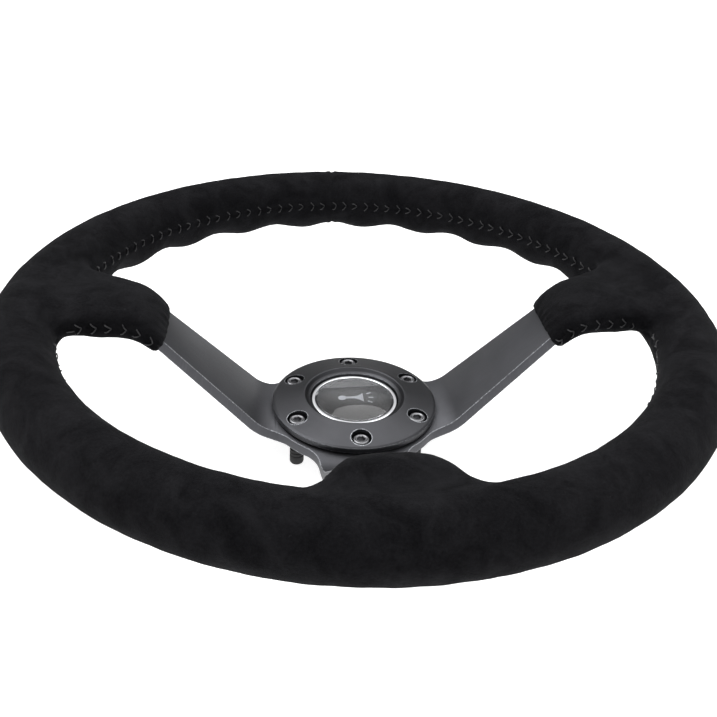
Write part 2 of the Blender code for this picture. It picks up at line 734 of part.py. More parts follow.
def contacts():
    plate = disc(CONTACT_RADIUS, CONTACT_Z, CONTACT_Z + CONTACT_THICKNESS)
    turned_part("moving_contact", plate, BRASS)
    flange = CUP_FLOOR_Z + TOUCH_GAP
    nut_top = TERMINAL_TOP_Z - TERMINAL_THICKNESS - TOUCH_GAP
    nut_bottom = nut_top - NUT_THICKNESS
    stud = [
        (0, STUD_TOP_Z),
        (STUD_RADIUS, STUD_TOP_Z),
        (STUD_RADIUS, flange + STUD_FLANGE_THICKNESS),
        (STUD_FLANGE_RADIUS, flange + STUD_FLANGE_THICKNESS),
        (STUD_FLANGE_RADIUS, flange),
        (STUD_THREAD_RADIUS, flange),
        (STUD_THREAD_RADIUS, nut_bottom - STUD_THREAD_END),
        (0, nut_bottom - STUD_THREAD_END),
    ]
    turned_part("contact_stud", stud, BRASS, SMALL_STEPS)
    nut = hexagon_cutter("contact_nut", NUT_FLATS, nut_bottom, nut_top, (0, 0, 0))
    nut.hide_render = False
    nut.display_type = "TEXTURED"
    CUTTERS.objects.unlink(nut)
    PARTS.objects.link(nut)
    nut.data.materials.append(STEEL)
    thread = disc(STUD_THREAD_RADIUS + SCREW_GAP, nut_bottom - CUT_MARGIN, nut_top + CUT_MARGIN)
    boolean(nut, turned_cutter("nut_thread", thread, SMALL_STEPS))
    top = GROUND_PLATE_TOP_Z
    washer = band(GROUND_PLATE_BORE, GROUND_PLATE_RADIUS, top - GROUND_PLATE_THICKNESS, top)
    ground = turned_part("ground_plate", washer, BRASS)
    boolean(ground, ground_rivet_hole("ground_plate_hole", top - CUT_MARGIN, top + CUT_MARGIN))
    head = top + TOUCH_GAP
    foot = TERMINAL_TOP_Z - TERMINAL_THICKNESS - TOUCH_GAP
    rivet = [
        (0, head + GROUND_RIVET_HEAD_HEIGHT),
        (GROUND_RIVET_HEAD * RIVET_CROWN, head + GROUND_RIVET_HEAD_HEIGHT),
        (GROUND_RIVET_HEAD, head),
        (GROUND_RIVET_RADIUS, head),
        (GROUND_RIVET_RADIUS, foot),
        (GROUND_RIVET_HEAD, foot),
        (GROUND_RIVET_HEAD * RIVET_CROWN, foot - GROUND_RIVET_HEAD_HEIGHT),
        (0, foot - GROUND_RIVET_HEAD_HEIGHT),
    ]
    turned_part("ground_rivet", rivet, BRASS, SMALL_STEPS, (GROUND_RIVET_X, 0, 0))


def outline_mesh(name, points, thickness):
    """A flat outline in the XZ plane, this thick along Y, as a closed mesh."""
    outline = bpy.data.curves.new(name, "CURVE")
    outline.dimensions = "2D"
    outline.fill_mode = "BOTH"
    outline.extrude = thickness / 2
    line = outline.splines.new("POLY")
    line.points.add(len(points) - 1)
    line.use_cyclic_u = True
    for point, (x, z) in zip(line.points, points):
        point.co = (x, z, 0, 1)
    flat = bpy.data.objects.new(name, outline)
    PARTS.objects.link(flat)
    mesh = bpy.data.meshes.new_from_object(flat.evaluated_get(bpy.context.evaluated_depsgraph_get()))
    bpy.data.objects.remove(flat)
    shape = bmesh.new()
    shape.from_mesh(mesh)
    bmesh.ops.remove_doubles(shape, verts=shape.verts[:], dist=MERGE_DISTANCE)
    shape.transform(Matrix.Rotation(pi / 2, 4, "X"))
    bmesh.ops.recalc_face_normals(shape, faces=shape.faces[:])
    shape.to_mesh(mesh)
    shape.free()
    return mesh


def terminal(name, hole_x, direction, hole_radius):
    """An angle of sheet brass: a foot under the cup with a hole, and a push-on blade hanging from it."""
    low = TERMINAL_TOP_Z - TERMINAL_THICKNESS
    profile = [
        (-TERMINAL_FOOT, TERMINAL_TOP_Z),
        (TERMINAL_REACH, TERMINAL_TOP_Z),
        (TERMINAL_REACH, TERMINAL_TOP_Z - TERMINAL_DROP),
        (TERMINAL_REACH - TERMINAL_THICKNESS, TERMINAL_TOP_Z - TERMINAL_DROP),
        (TERMINAL_REACH - TERMINAL_THICKNESS, low),
        (-TERMINAL_FOOT, low),
    ]
    points = [(hole_x + direction * x, z) for x, z in profile]
    blade = add_part(name, outline_mesh(name, points, TERMINAL_WIDTH), BRASS)
    hole = disc(hole_radius + SCREW_GAP, low - CUT_MARGIN, TERMINAL_TOP_Z + CUT_MARGIN)
    boolean(blade, turned_cutter(f"{name}_hole", hole, SMALL_STEPS, (hole_x, 0, 0)))


def return_spring():
    """A coil between the ground plate and the moving contact."""
    low = GROUND_PLATE_TOP_Z + TOUCH_GAP + SPRING_WIRE
    high = CONTACT_Z - TOUCH_GAP - SPRING_WIRE
    coil = bpy.data.curves.new("return_spring", "CURVE")
    coil.dimensions = "3D"
    coil.bevel_depth = SPRING_WIRE
    coil.bevel_resolution = 1
    coil.use_fill_caps = True
    line = coil.splines.new("POLY")
    count = round(SPRING_TURNS * SPRING_STEPS)
    line.points.add(count)
    for i, point in enumerate(line.points):
        angle = 2 * pi * SPRING_TURNS * i / count
        height = low + (high - low) * i / count
        point.co = (SPRING_RADIUS * cos(angle), SPRING_RADIUS * sin(angle), height, 1)
    add_part("return_spring", coil, SPRING_STEEL)


clear_scene()
PARTS = new_collection("steering_wheel")
CUTTERS = new_collection("cutters")

ALLOY = material("black anodised aluminium plate", (0.055, 0.056, 0.060), 0.85, 0.42)
ANODISED = material("black anodised ring", (0.050, 0.051, 0.055), 0.85, 0.36)
STEEL = material("zinc plated steel", (0.52, 0.52, 0.50), 1.0, 0.38)
BLACK_STEEL = material("black oxide steel", (0.060, 0.060, 0.065), 0.9, 0.30)
SPRING_STEEL = material("spring steel", (0.45, 0.45, 0.46), 1.0, 0.30)
FOAM = material("moulded urethane foam", (0.030, 0.030, 0.031), 0.0, 0.80)
SUEDE = material("black suede", (0.012, 0.012, 0.014), 0.0, 0.95)
THREAD = material("waxed black thread", (0.035, 0.035, 0.038), 0.0, 0.60)
RUBBER = material("black rubber", (0.020, 0.020, 0.020), 0.0, 0.70)
BLACK_PLASTIC = material("black plastic", (0.020, 0.020, 0.022), 0.0, 0.45)
CHROME = material("chrome", (0.75, 0.76, 0.78), 1.0, 0.07)
BADGE_BLACK = material("satin black foil", (0.012, 0.012, 0.014), 0.0, 0.35)
LENS = material("clear resin", (0.020, 0.021, 0.024), 0.0, 0.05)
BRASS = material("brass", (0.62, 0.45, 0.18), 1.0, 0.30)

RIVET_HOLES = rivet_hole_cutters()
spoke_plate()
core_hoop()
spoke_rivets()
rim_foam()
suede_cover()
lacing()
hub_ring()
hub_screws()
screw_caps()
horn_cup()
horn_button()
trim_ring()
badge_and_lens()
contacts()
terminal("live_terminal", 0.0, 1, STUD_THREAD_RADIUS)
terminal("ground_terminal", GROUND_RIVET_X, -1, GROUND_RIVET_RADIUS)
return_spring()
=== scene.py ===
"""Looks of a dished three-spoke steering wheel: suede grip and stitches, anodised spokes and hub ring,
screws, horn button and a pale studio floor, built round the wheel's engineering model."""

from math import asin, atan2, cos, pi, radians, sin, sqrt, tan

import bmesh
import bpy
import numpy as np
from bpy.props import FloatProperty, FloatVectorProperty, IntProperty, PointerProperty
from mathutils import Matrix, Vector


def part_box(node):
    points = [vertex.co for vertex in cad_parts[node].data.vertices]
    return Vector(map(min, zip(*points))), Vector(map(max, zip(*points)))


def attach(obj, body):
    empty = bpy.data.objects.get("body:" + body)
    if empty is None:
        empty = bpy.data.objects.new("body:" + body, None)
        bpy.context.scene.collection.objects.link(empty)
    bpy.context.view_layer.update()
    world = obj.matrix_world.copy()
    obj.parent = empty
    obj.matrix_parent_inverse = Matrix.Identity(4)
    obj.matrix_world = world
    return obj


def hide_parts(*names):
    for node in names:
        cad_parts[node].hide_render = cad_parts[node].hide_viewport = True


bl_info = {
    "name": "Dished Steering Wheel Looks",
    "version": (1, 0, 0),
    "blender": (4, 5, 0),
    "location": "3D View > Sidebar > Steering Wheel",
    "description": "Builds the fine pieces and materials of a dished suede steering wheel",
    "category": "Object",
}

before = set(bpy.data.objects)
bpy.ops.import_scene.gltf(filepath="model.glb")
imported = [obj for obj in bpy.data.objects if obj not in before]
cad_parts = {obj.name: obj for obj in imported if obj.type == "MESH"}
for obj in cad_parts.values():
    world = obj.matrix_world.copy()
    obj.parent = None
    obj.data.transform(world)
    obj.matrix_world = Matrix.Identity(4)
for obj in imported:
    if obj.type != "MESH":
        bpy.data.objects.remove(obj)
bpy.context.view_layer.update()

# Places and sizes taken from the engineering model
TOUCH_GAP = 0.0003
PLATE_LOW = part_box("spoke_plate")[0]
RING_LOW, RING_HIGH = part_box("hub_ring")
COVER_LOW, COVER_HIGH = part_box("suede_cover")
HOOP_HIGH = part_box("core_hoop")[1]
SCREW_LOW, SCREW_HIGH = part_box("hub_screw_2")
CAP_LOW, CAP_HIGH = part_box("screw_cap_2")
CUP_LOW, CUP_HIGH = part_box("horn_cup")
BODY_LOW, BODY_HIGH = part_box("button_body")
TRIM_LOW, TRIM_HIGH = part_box("button_trim_ring")
BADGE_LOW, BADGE_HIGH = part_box("button_badge")
LENS_LOW, LENS_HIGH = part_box("button_lens")
FACE_Z = RING_LOW.z - TOUCH_GAP
PLATE_THICKNESS = FACE_Z - PLATE_LOW.z
SPOKE_END_Z = HOOP_HIGH.z + TOUCH_GAP + PLATE_THICKNESS / 2
RIM_Z = (COVER_LOW.z + COVER_HIGH.z) / 2
GRIP_RADIUS = (COVER_HIGH.z - COVER_LOW.z) / 2
RIM_RADIUS = COVER_HIGH.x - GRIP_RADIUS
RIM_INNER = RIM_RADIUS - GRIP_RADIUS
BOLT_RADIUS = (SCREW_LOW.y + SCREW_HIGH.y) / 2
BOLT_ANGLES = (30, 90, 150, 210, 270, 330)
MOUTHS = {0: 0.0955, 180: 0.0955, 270: 0.1190}
SPOKE_ANGLES = tuple(MOUTHS)
SPOKE_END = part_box("spoke_plate")[1].x
HUB_RADIUS = 0.044
HUB_FILLET = 0.016
SPOKE_ROOT = 0.063
SPOKE_ROOT_HALF = 0.0190
SPOKE_TIP = 0.095
SPOKE_TIP_HALF = 0.0153
BENDS = {0: (0.0467, 0.1059), 180: (0.0467, 0.1059), 270: (0.0550, 0.1265)}
BEND_RADIUS = 0.022
BUTTON_BORE = 0.0229
CUT_MARGIN = 0.001  # how far a cutter passes the surface it cuts
RELIEF_WIDTH = 0.0021  # undercut round the ring's foot
RELIEF_HEIGHT = 0.0010

# Fastenings
COUNTERBORE_RADIUS = 0.0051
SCREW_HOLE_RADIUS = 0.0028
SCREW_RADIUS = 0.0025
SCREW_HEAD_HEIGHT = 0.0035
THREAD_PITCH = 0.0008
THREAD_DEPTH = 0.0004
SOCKET_RADIUS = 0.0023  # to its corners
SOCKET_DEPTH = 0.0020
CAP_BORE_RADIUS = 0.0028
CAP_END = 0.0027  # rubber under the screw's end

# Horn button and its housing
TRIM_WALL = 0.0024
BODY_WALL = 0.0013
BODY_ROOF = 0.0022
DOME_RISE = 0.0022
DOME_STEPS = 24
CUP_WALL = 0.0012
CUP_FLANGE_WIDTH = 0.0018
SLIDE_GAP = 0.0006
STUD_HOLE_RADIUS = 0.0018
RIVET_HOLE_RADIUS = 0.00155
RIVET_PLACE = (-0.012, 0, 0)

# Grip
TWELVE_SEAM = radians(90.5)  # where the cover's two ends meet
WAVE_CENTRE = radians(253) - 2 * pi  # round the grip's section from outwards: behind and inside
SEAM_HALF = 0.0011
BOOT_SQUARENESS = 2.6  # exponent of the boot's section, 2 for an ellipse
RIM_BLEND = 0.009  # reach of the fillet between boots and rim
MOUTH_ROUNDING = 0.0022
SLOT_GAP = 0.00035  # between the suede and the spokes
LEG_ALONG = 0.0030  # how far a stitch's leg runs on along the seam
LEG_ACROSS = 0.0024
BOOT_SPREAD = 0.043  # from a spoke's middle to where the rim's seam turns into the boot's
BLOCK_CORNERS = (
    *((1, 0.55), (0.55, 1), (-0.55, 1), (-1, 0.55)),
    *((-1, -0.55), (-0.55, -1), (0.55, -1), (1, -0.55)),
)


# Settings


def length_property(name, description, default, least=0.0):
    return FloatProperty(name=name, description=description, default=default, min=least, unit="LENGTH")


class WheelSizes(bpy.types.PropertyGroup):
    """Sizes that a user may change before building the pieces."""

    voxel: length_property("Grip Fineness", "Edge length of the grip's faces", 0.0011, 0.0006)
    finger_depth: length_property(
        "Finger Wave Depth", "Height of the finger grips behind the upper rim, crest to trough", 0.0028
    )
    finger_count: IntProperty(
        name="Finger Waves", description="Waves in a full turn of the rim", default=25
    )
    seam_depth: length_property("Seam Depth", "Depth of the valley where the suede's edges meet", 0.0009)
    stitch_pitch: length_property("Stitch Pitch", "Distance from one stitch to the next", 0.0068)
    thread_radius: length_property("Thread Radius", "Radius of the waxed thread", 0.00030)
    edge_round: length_property("Spoke Edge Rounding", "Radius on the edges of the spoke plate", 0.0009)


def colour_property(name, description, default):
    return FloatVectorProperty(
        name=name,
        description=description,
        default=default,
        subtype="COLOR",
        size=3,
        min=0.0,
        max=1.0,
    )


class WheelColours(bpy.types.PropertyGroup):
    """Colours of the wheel's finishes."""

    suede_dark: colour_property("Suede Dark", "Suede where the nap lies away", (0.0016, 0.0016, 0.0020))
    suede_light: colour_property(
        "Suede Light", "Suede where the nap is brushed up", (0.0130, 0.0130, 0.0146)
    )
    anodised: colour_property("Anodising", "Black anodised aluminium", (0.085, 0.086, 0.094))
    # Light edge colour: partly anodising rubbed thin, partly a painted highlight along the rounded edges of
    # spokes and ring
    bare_edge_and_highlight: colour_property("Worn Edge", "Anodising rubbed thin on edges", (0.62, 0.64, 0.68))
    thread: colour_property("Thread", "Waxed thread", (0.022, 0.022, 0.025))
    floor: colour_property("Floor", "Pale studio floor", (0.55, 0.55, 0.55))


# Mesh helpers


def mesh_object(name, mesh):
    made = bpy.data.objects.new(name, mesh)
    bpy.context.scene.collection.objects.link(made)
    return made


def evaluated_mesh(item):
    """The item's mesh with its modifiers applied, as a new mesh."""
    bpy.context.view_layer.update()
    graph = bpy.context.evaluated_depsgraph_get()
    return bpy.data.meshes.new_from_object(item.evaluated_get(graph))


def mesh_from(name, shape):
    mesh = bpy.data.meshes.new(name)
    shape.to_mesh(mesh)
    shape.free()
    return mesh


def finish_piece(item, finish, body, nodes, sharp=35):
    """Gives a piece its material, shading and body, and hides the model nodes that it stands for."""
    item.data.materials.clear()
    item.data.materials.append(finish)
    if item.type == "MESH":
        item.data.shade_smooth()
        item.data.set_sharp_from_angle(angle=radians(sharp))
    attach(item, body)
    if nodes:
        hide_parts(*nodes)
    return item


def cut(item, cutter, operation="DIFFERENCE"):
    """Applies a Boolean with a helper object and removes the helper."""
    change = item.modifiers.new("cut", "BOOLEAN")
    change.operation = operation
    change.solver = "MANIFOLD"
    change.object = cutter
    mesh = evaluated_mesh(item)
    item.modifiers.clear()
    item.data = mesh
    bpy.data.objects.remove(cutter)
    return item


def bevel(item, width, segments=2, angle=40):
    change = item.modifiers.new("edges", "BEVEL")
    change.width = width
    change.segments = segments
    change.limit_method = "ANGLE"
    change.angle_limit = radians(angle)
    change.harden_normals = False
    return item


def at(radius, angle, z=0.0):
    return Vector((radius * cos(radians(angle)), radius * sin(radians(angle)), z))


def rounded(corners, steps=4):
    """(radius, height, rounding) corners as a closed profile whose corners are arcs."""
    points = []
    count = len(corners)
    for i, (r, z, rounding) in enumerate(corners):
        here = Vector((r, z))
        before = (Vector(corners[i - 1][:2]) - here).normalized()
        after = (Vector(corners[(i + 1) % count][:2]) - here).normalized()
        if rounding <= 0 or abs(before.cross(after)) < 1e-4:
            points.append(here)
            continue
        half = before.angle(after) / 2
        reach = rounding / tan(half)
        centre = here + (before + after).normalized() * (rounding / sin(half))
        start = here + before * reach - centre
        end = here + after * reach - centre
        first = atan2(start.y, start.x)
        swing = turn_from(atan2(end.y, end.x), first)
        for k in range(steps + 1):
            angle = first + swing * k / steps
            points.append(centre + Vector((cos(angle), sin(angle))) * rounding)
    return [(p.x, p.y) for p in points]


def lathe(name, profile, steps=160):
    """Turns a closed profile, which may touch the axis, into a closed mesh."""
    shape = bmesh.new()
    rings = []
    for i in range(steps):
        spin = Matrix.Rotation(2 * pi * i / steps, 3, "Z")
        rings.append([shape.verts.new(spin @ Vector((r, 0, z))) for r, z in profile])
    count = len(profile)
    for i, ring in enumerate(rings):
        following = rings[(i + 1) % steps]
        for j in range(count):
            k = (j + 1) % count
            if profile[j][0] > 0 or profile[k][0] > 0:
                shape.faces.new((ring[j], ring[k], following[k], following[j]))
    bmesh.ops.remove_doubles(shape, verts=shape.verts[:], dist=1e-7)
    bmesh.ops.dissolve_degenerate(shape, edges=shape.edges[:], dist=1e-7)
    bmesh.ops.recalc_face_normals(shape, faces=shape.faces[:])
    return mesh_from(name, shape)


def plug(radius, low, high, sides=48, place=(0, 0, 0), top=None):
    """A cylinder or cone as a helper object."""
    shape = bmesh.new()
    bmesh.ops.create_cone(
        shape,
        cap_ends=True,
        segments=sides,
        radius1=radius,
        radius2=radius if top is None else top,
        depth=high - low,
        matrix=Matrix.Translation((place[0], place[1], (low + high) / 2)),
    )
    return mesh_object("helper", mesh_from("helper", shape))


# The line of the spokes, shared by the plate, the grip's boots and the slots


def bend_line(angle, steps):
    """(distance from axis, height) along the middle of a spoke."""
    bend_in, bend_out = BENDS[angle]
    middle = FACE_Z - PLATE_THICKNESS / 2
    slope = atan2(SPOKE_END_Z - middle, bend_out - bend_in)
    reach = BEND_RADIUS * tan(slope / 2)
    turns = [slope * i / steps for i in range(steps + 1)]
    curve = [(BEND_RADIUS * sin(a), BEND_RADIUS * (1 - cos(a))) for a in turns]
    inner = [(bend_in - reach + away, middle + rise) for away, rise in curve]
    outer = [(bend_out + reach - away, SPOKE_END_Z - rise) for away, rise in curve]
    return [(0.0, middle), *inner, *reversed(outer), (1.0, SPOKE_END_Z)]


def spoke_line(angle):
    """Arrays of distance, height and lean along the middle of a spoke."""
    across, up = (np.array(values) for values in zip(*bend_line(angle, 16)))
    return across, up, np.arctan2(np.gradient(up, across), 1.0)


LINES = {angle: spoke_line(angle) for angle in SPOKE_ANGLES}


def spoke_edge(grow, steps):
    """Upper edge of the spoke along +X, from its end back to the hub."""
    taper = atan2(SPOKE_ROOT_HALF - SPOKE_TIP_HALF, SPOKE_TIP - SPOKE_ROOT)
    along = Vector((cos(taper), -sin(taper)))
    out = Vector((sin(taper), cos(taper)))
    fillet = HUB_FILLET - grow
    hub = HUB_RADIUS + grow
    offset = out.dot(Vector((SPOKE_ROOT, SPOKE_ROOT_HALF))) + grow + fillet
    centre = out * offset + along * sqrt((hub + fillet) ** 2 - offset**2)
    first = -pi / 2 - taper
    last = atan2(-centre.y, -centre.x)
    points = [Vector((SPOKE_END + grow, SPOKE_TIP_HALF + grow))]
    points.append(Vector((SPOKE_TIP, SPOKE_TIP_HALF + grow)))
    for i in range(steps + 1):
        angle = first + (last - first) * i / steps
        points.append(centre + Vector((cos(angle), sin(angle))) * fillet)
    return points


def plate_outline(grow, steps):
    upper = spoke_edge(grow, steps)
    lower = [Vector((p.x, -p.y)) for p in reversed(upper)]
    start = atan2(upper[-1].y, upper[-1].x)
    outline = []
    for number, angle in enumerate(SPOKE_ANGLES):
        spin = Matrix.Rotation(radians(angle), 2)
        outline += [spin @ p for p in lower + upper]
        following = SPOKE_ANGLES[(number + 1) % 3]
        gap = radians((following - angle) % 360) - 2 * start
        count = max(1, round(2 * steps * gap / (pi / 2)))
        for i in range(1, count):
            angle_here = radians(angle) + start + gap * i / count
            outline.append(Vector((cos(angle_here), sin(angle_here))) * (HUB_RADIUS + grow))
    return outline


def bent_plate(name, grow, thickness, steps, bends):
    """The spoke plate as a thickened sheet."""
    shape = bmesh.new()
    shape.faces.new([shape.verts.new((p.x, p.y, 0)) for p in plate_outline(grow, steps)])
    for angle in SPOKE_ANGLES:
        along = at(1, angle)
        for distance, _ in bend_line(angle, bends)[1:-1]:
            everything = shape.verts[:] + shape.edges[:] + shape.faces[:]
            bmesh.ops.bisect_plane(
                shape, geom=everything, dist=1e-7, plane_co=along * distance, plane_no=along
            )
    lines = {angle: tuple(zip(*bend_line(angle, bends))) for angle in SPOKE_ANGLES}
    for vert in shape.verts:
        distance, angle = max((vert.co.dot(at(1, angle)), angle) for angle in SPOKE_ANGLES)
        vert.co.z = np.interp(distance, *lines[angle])
    plate = mesh_object(name, mesh_from(name, shape))
    wall = plate.modifiers.new("thickness", "SOLIDIFY")
    wall.thickness = thickness
    wall.offset = 0.0
    wall.use_even_offset = True
    return plate


# The grip as a field: distance to its surface, negative inside


def blend_min(a, b, reach):
    share = np.clip(0.5 + 0.5 * (b - a) / reach, 0, 1)
    return b * (1 - share) + a * share - reach * share * (1 - share)


def blend_max(a, b, reach):
    return -blend_min(-a, -b, reach)


def bell(x, width):
    return np.exp(-((x / width) ** 2))


def ripple(points, scale, seed):
    """Smooth uneven ripples from -1 to 1, with bumps about scale apart."""
    x, y, z = points.T * (2 * pi / scale)
    first = np.sin(x + 1.7 * np.sin(0.53 * y + seed)) * np.sin(0.9 * z + 0.41 * x + seed)
    second = np.sin(0.83 * y - 0.62 * z + 2.1 * seed + 1.3 * np.sin(0.47 * x))
    return 0.6 * first + 0.4 * second


def turn_from(angle, target):
    """Signed difference of two angles in radians, from -pi to pi."""
    return (angle - target + pi) % (2 * pi) - pi


def tube_field(points, sizes):
    x, y, z = points.T
    rho = np.hypot(x, y)
    phi = np.arctan2(y, x)
    theta = np.arctan2(z - RIM_Z, rho - RIM_RADIUS)
    wave = (1 - np.cos(sizes.finger_count * (phi - TWELVE_SEAM))) / 2 * sizes.finger_depth
    back = np.clip(np.cos(theta - WAVE_CENTRE), 0, 1) ** 2
    upper = np.clip((np.sin(phi) - 0.10) / 0.25, 0, 1)
    radius = GRIP_RADIUS + wave * back * upper
    inner = turn_from(theta, pi) * GRIP_RADIUS
    radius -= sizes.seam_depth * bell(inner, SEAM_HALF)
    pull = 0.5 + 0.5 * np.cos(2 * pi * phi * RIM_INNER / sizes.stitch_pitch)
    radius -= 0.00035 * pull * bell(inner, 0.0036)
    cross = turn_from(phi, TWELVE_SEAM) * RIM_RADIUS
    radius += 0.0005 * bell(cross - 0.0019, 0.0012) + 0.0003 * bell(cross + 0.0018, 0.0012)
    radius -= 0.0008 * bell(cross, 0.0008)
    radius += 0.00016 * ripple(points, 0.021, 1.0) + 0.00007 * ripple(points, 0.0083, 4.0)
    return np.hypot(z - RIM_Z, rho - RIM_RADIUS) - radius


def boot_frame(points, angle):
    """Distance along a spoke, height above its middle and place across it, for each point."""
    along = at(1, angle)
    side = at(1, angle + 90)
    s = points @ np.array(along)
    y = points @ np.array(side)
    across, heights, leans = LINES[angle]
    foot = s.copy()
    for _ in range(4):
        lean = np.interp(foot, across, leans)
        up = np.interp(foot, across, heights)
        step = (s - foot) * np.cos(lean) + (points[:, 2] - up) * np.sin(lean)
        foot += step * np.cos(lean)
    lean = np.interp(foot, across, leans)
    up = np.interp(foot, across, heights)
    height = (points[:, 2] - up) * np.cos(lean) - (s - foot) * np.sin(lean)
    return foot, height, y


def boot_halves(foot, angle, y):
    """Half width and half height of a boot at this distance from the axis, on the side where y is."""
    mouth = MOUTHS[angle]
    share = np.clip((foot - mouth) / (RIM_INNER - mouth), 0, 1.15)
    toward_twelve = np.sign(y) * np.sign(cos(radians(angle)))
    long_flare = 0.0046 + np.where(toward_twelve > 0, 0.0280 * share**1.6, -0.0030 * share)
    short_flare = 0.0042 + 0.0150 * share**1.4
    width = SPOKE_TIP_HALF + (long_flare if mouth < SPOKE_TIP + 0.01 else short_flare)
    swell = 1 - np.exp(-np.clip(foot - mouth, 0, 1) / 0.0050)
    height = PLATE_THICKNESS / 2 + 0.0026 + 0.0036 * swell - 0.0020 * np.clip(share - 0.5, 0, 1)
    return width, height


def boot_field(points, angle, sizes):
    foot, height, y = boot_frame(points, angle)
    mouth = MOUTHS[angle]
    half_width, half_height = boot_halves(foot, angle, y)
    power = BOOT_SQUARENESS
    scaled = ((np.abs(y) / half_width) ** power + (np.abs(height) / half_height) ** power) ** (1 / power)
    scaled = np.maximum(scaled, 1e-6)
    side = np.hypot(y, height) * (1 - 1 / scaled)
    edge = np.clip(np.abs(y) / half_width, 0, 1) ** 4
    side += sizes.seam_depth * 0.8 * bell(height, SEAM_HALF) * edge
    pull = 0.5 + 0.5 * np.cos(2 * pi * foot / sizes.stitch_pitch)
    side += 0.0004 * pull * bell(height, 0.0036) * edge
    near_mouth = bell(foot - mouth, 0.006)
    around = np.arctan2(height * 2, y)
    side -= 0.00035 * near_mouth * np.sin(around * 17 + 2.0 * np.sin(around * 3 + angle))
    side -= 0.00030 * ripple(points, 0.017, angle + 2.0) + 0.00012 * ripple(points, 0.007, angle + 5.0)
    end = mouth - foot + 0.0004 * ripple(points, 0.0045, angle + 1.0)
    return blend_max(blend_max(side, end, MOUTH_ROUNDING), foot - RIM_INNER - 0.008, 0.008)


def grip_field(points, sizes):
    field = tube_field(points, sizes)
    reach = np.hypot(points[:, 0], points[:, 1])
    near = reach < RIM_RADIUS + GRIP_RADIUS
    for angle in SPOKE_ANGLES:
        ahead = near & (points @ np.array(at(1, angle)) > 0.06)
        boot = np.full(len(points), 0.05)
        boot[ahead] = boot_field(points[ahead], angle, sizes)
        field = blend_min(field, boot, RIM_BLEND)
    return field


def grip_gradient(points, sizes, step=0.00012):
    moves = np.eye(3) * step
    sides = [grip_field(points + m, sizes) - grip_field(points - m, sizes) for m in moves]
    return np.stack(sides, axis=1) / (2 * step)


def to_grip_surface(points, sizes, rounds=5):
    """Moves points along the field's slope until they lie on the grip's surface."""
    points = np.array(points, float)
    for _ in range(rounds):
        slope = grip_gradient(points, sizes)
        steep = np.maximum((slope**2).sum(axis=1), 0.2)
        step = grip_field(points, sizes) / steep
        points -= slope * np.clip(step, -0.003, 0.003)[:, None]
    return points


# Shader node groups and materials


def group_socket(group, name, in_out, kind, default=None):
    socket = group.interface.new_socket(name=name, in_out=in_out, socket_type=kind)
    if default is not None:
        socket.default_value = default
    return socket


def new_group(name, inputs, outputs):
    group = bpy.data.node_groups.new(name, "ShaderNodeTree")
    for label, default in inputs:
        group_socket(group, label, "INPUT", "NodeSocketFloat", default)
    for label, kind in outputs:
        group_socket(group, label, "OUTPUT", kind)
    source = group.nodes.new("NodeGroupInput")
    sink = group.nodes.new("NodeGroupOutput")
    return group, source, sink


def math_node(tree, operation, first, second=None, clamp=False):
    node = tree.nodes.new("ShaderNodeMath")
    node.operation = operation
    node.use_clamp = clamp
    for socket, value in zip(node.inputs, (first, second)):
        if value is None:
            continue
        if isinstance(value, (int, float)):
            socket.default_value = value
        else:
            tree.links.new(value, socket)
    return node.outputs[0]


def noise_node(tree, vector, scale, detail=4.0, rough=0.55, distortion=0.0):
    node = tree.nodes.new("ShaderNodeTexNoise")
    node.inputs["Detail"].default_value = detail
    node.inputs["Roughness"].default_value = rough
    node.inputs["Distortion"].default_value = distortion
    if isinstance(scale, (int, float)):
        node.inputs["Scale"].default_value = scale
    else:
        tree.links.new(scale, node.inputs["Scale"])
    tree.links.new(vector, node.inputs["Vector"])
    return node.outputs["Fac"]


def range_node(tree, value, low, high, to_low=0.0, to_high=1.0):
    node = tree.nodes.new("ShaderNodeMapRange")
    for label, number in (("From Min", low), ("From Max", high), ("To Min", to_low), ("To Max", to_high)):
        node.inputs[label].default_value = number
    tree.links.new(value, node.inputs["Value"])
    return node.outputs["Result"]


def object_coordinates(tree):
    return tree.nodes.new("ShaderNodeTexCoord").outputs["Object"]


def grain_group():
    """Fine even grain with a slower unevenness: bead blasting, moulded skin or foam."""
    inputs = (("Grain Scale", 3000.0), ("Patch Scale", 60.0))
    outputs = (("Grain", "NodeSocketFloat"), ("Patches", "NodeSocketFloat"))
    group, source, sink = new_group("surface grain", inputs, outputs)
    place = object_coordinates(group)
    grain = noise_node(group, place, source.outputs["Grain Scale"], detail=3.0)
    patches = noise_node(group, place, source.outputs["Patch Scale"], detail=5.0, rough=0.6)
    group.links.new(grain, sink.inputs["Grain"])
    group.links.new(patches, sink.inputs["Patches"])
    return group


def edge_group():
    """A mask of the piece's edges, broken up by noise: anodising or oxide rubbed thin, and on the anodised
    spokes and ring also a painted highlight along the rounded edges.
    """
    inputs = (("Radius", 0.0008), ("Break Up", 900.0), ("Amount", 1.0))
    group, source, sink = new_group("edge wear and highlight", inputs, (("Mask", "NodeSocketFloat"),))
    soft = group.nodes.new("ShaderNodeBevel")
    soft.samples = 6
    group.links.new(source.outputs["Radius"], soft.inputs["Radius"])
    true = group.nodes.new("ShaderNodeNewGeometry")
    dot = group.nodes.new("ShaderNodeVectorMath")
    dot.operation = "DOT_PRODUCT"
    group.links.new(soft.outputs["Normal"], dot.inputs[0])
    group.links.new(true.outputs["Normal"], dot.inputs[1])
    rim = range_node(group, dot.outputs["Value"], 0.985, 0.86)
    noise = noise_node(group, object_coordinates(group), source.outputs["Break Up"], detail=4.0)
    broken = math_node(group, "MULTIPLY", rim, range_node(group, noise, 0.35, 0.62))
    # Lighter edges: partly wear, and on the anodised spokes and ring partly a painted highlight along every
    # rounded edge
    lighter_edges = math_node(group, "MULTIPLY", broken, source.outputs["Amount"], clamp=True)
    group.links.new(lighter_edges, sink.inputs["Mask"])
    return group


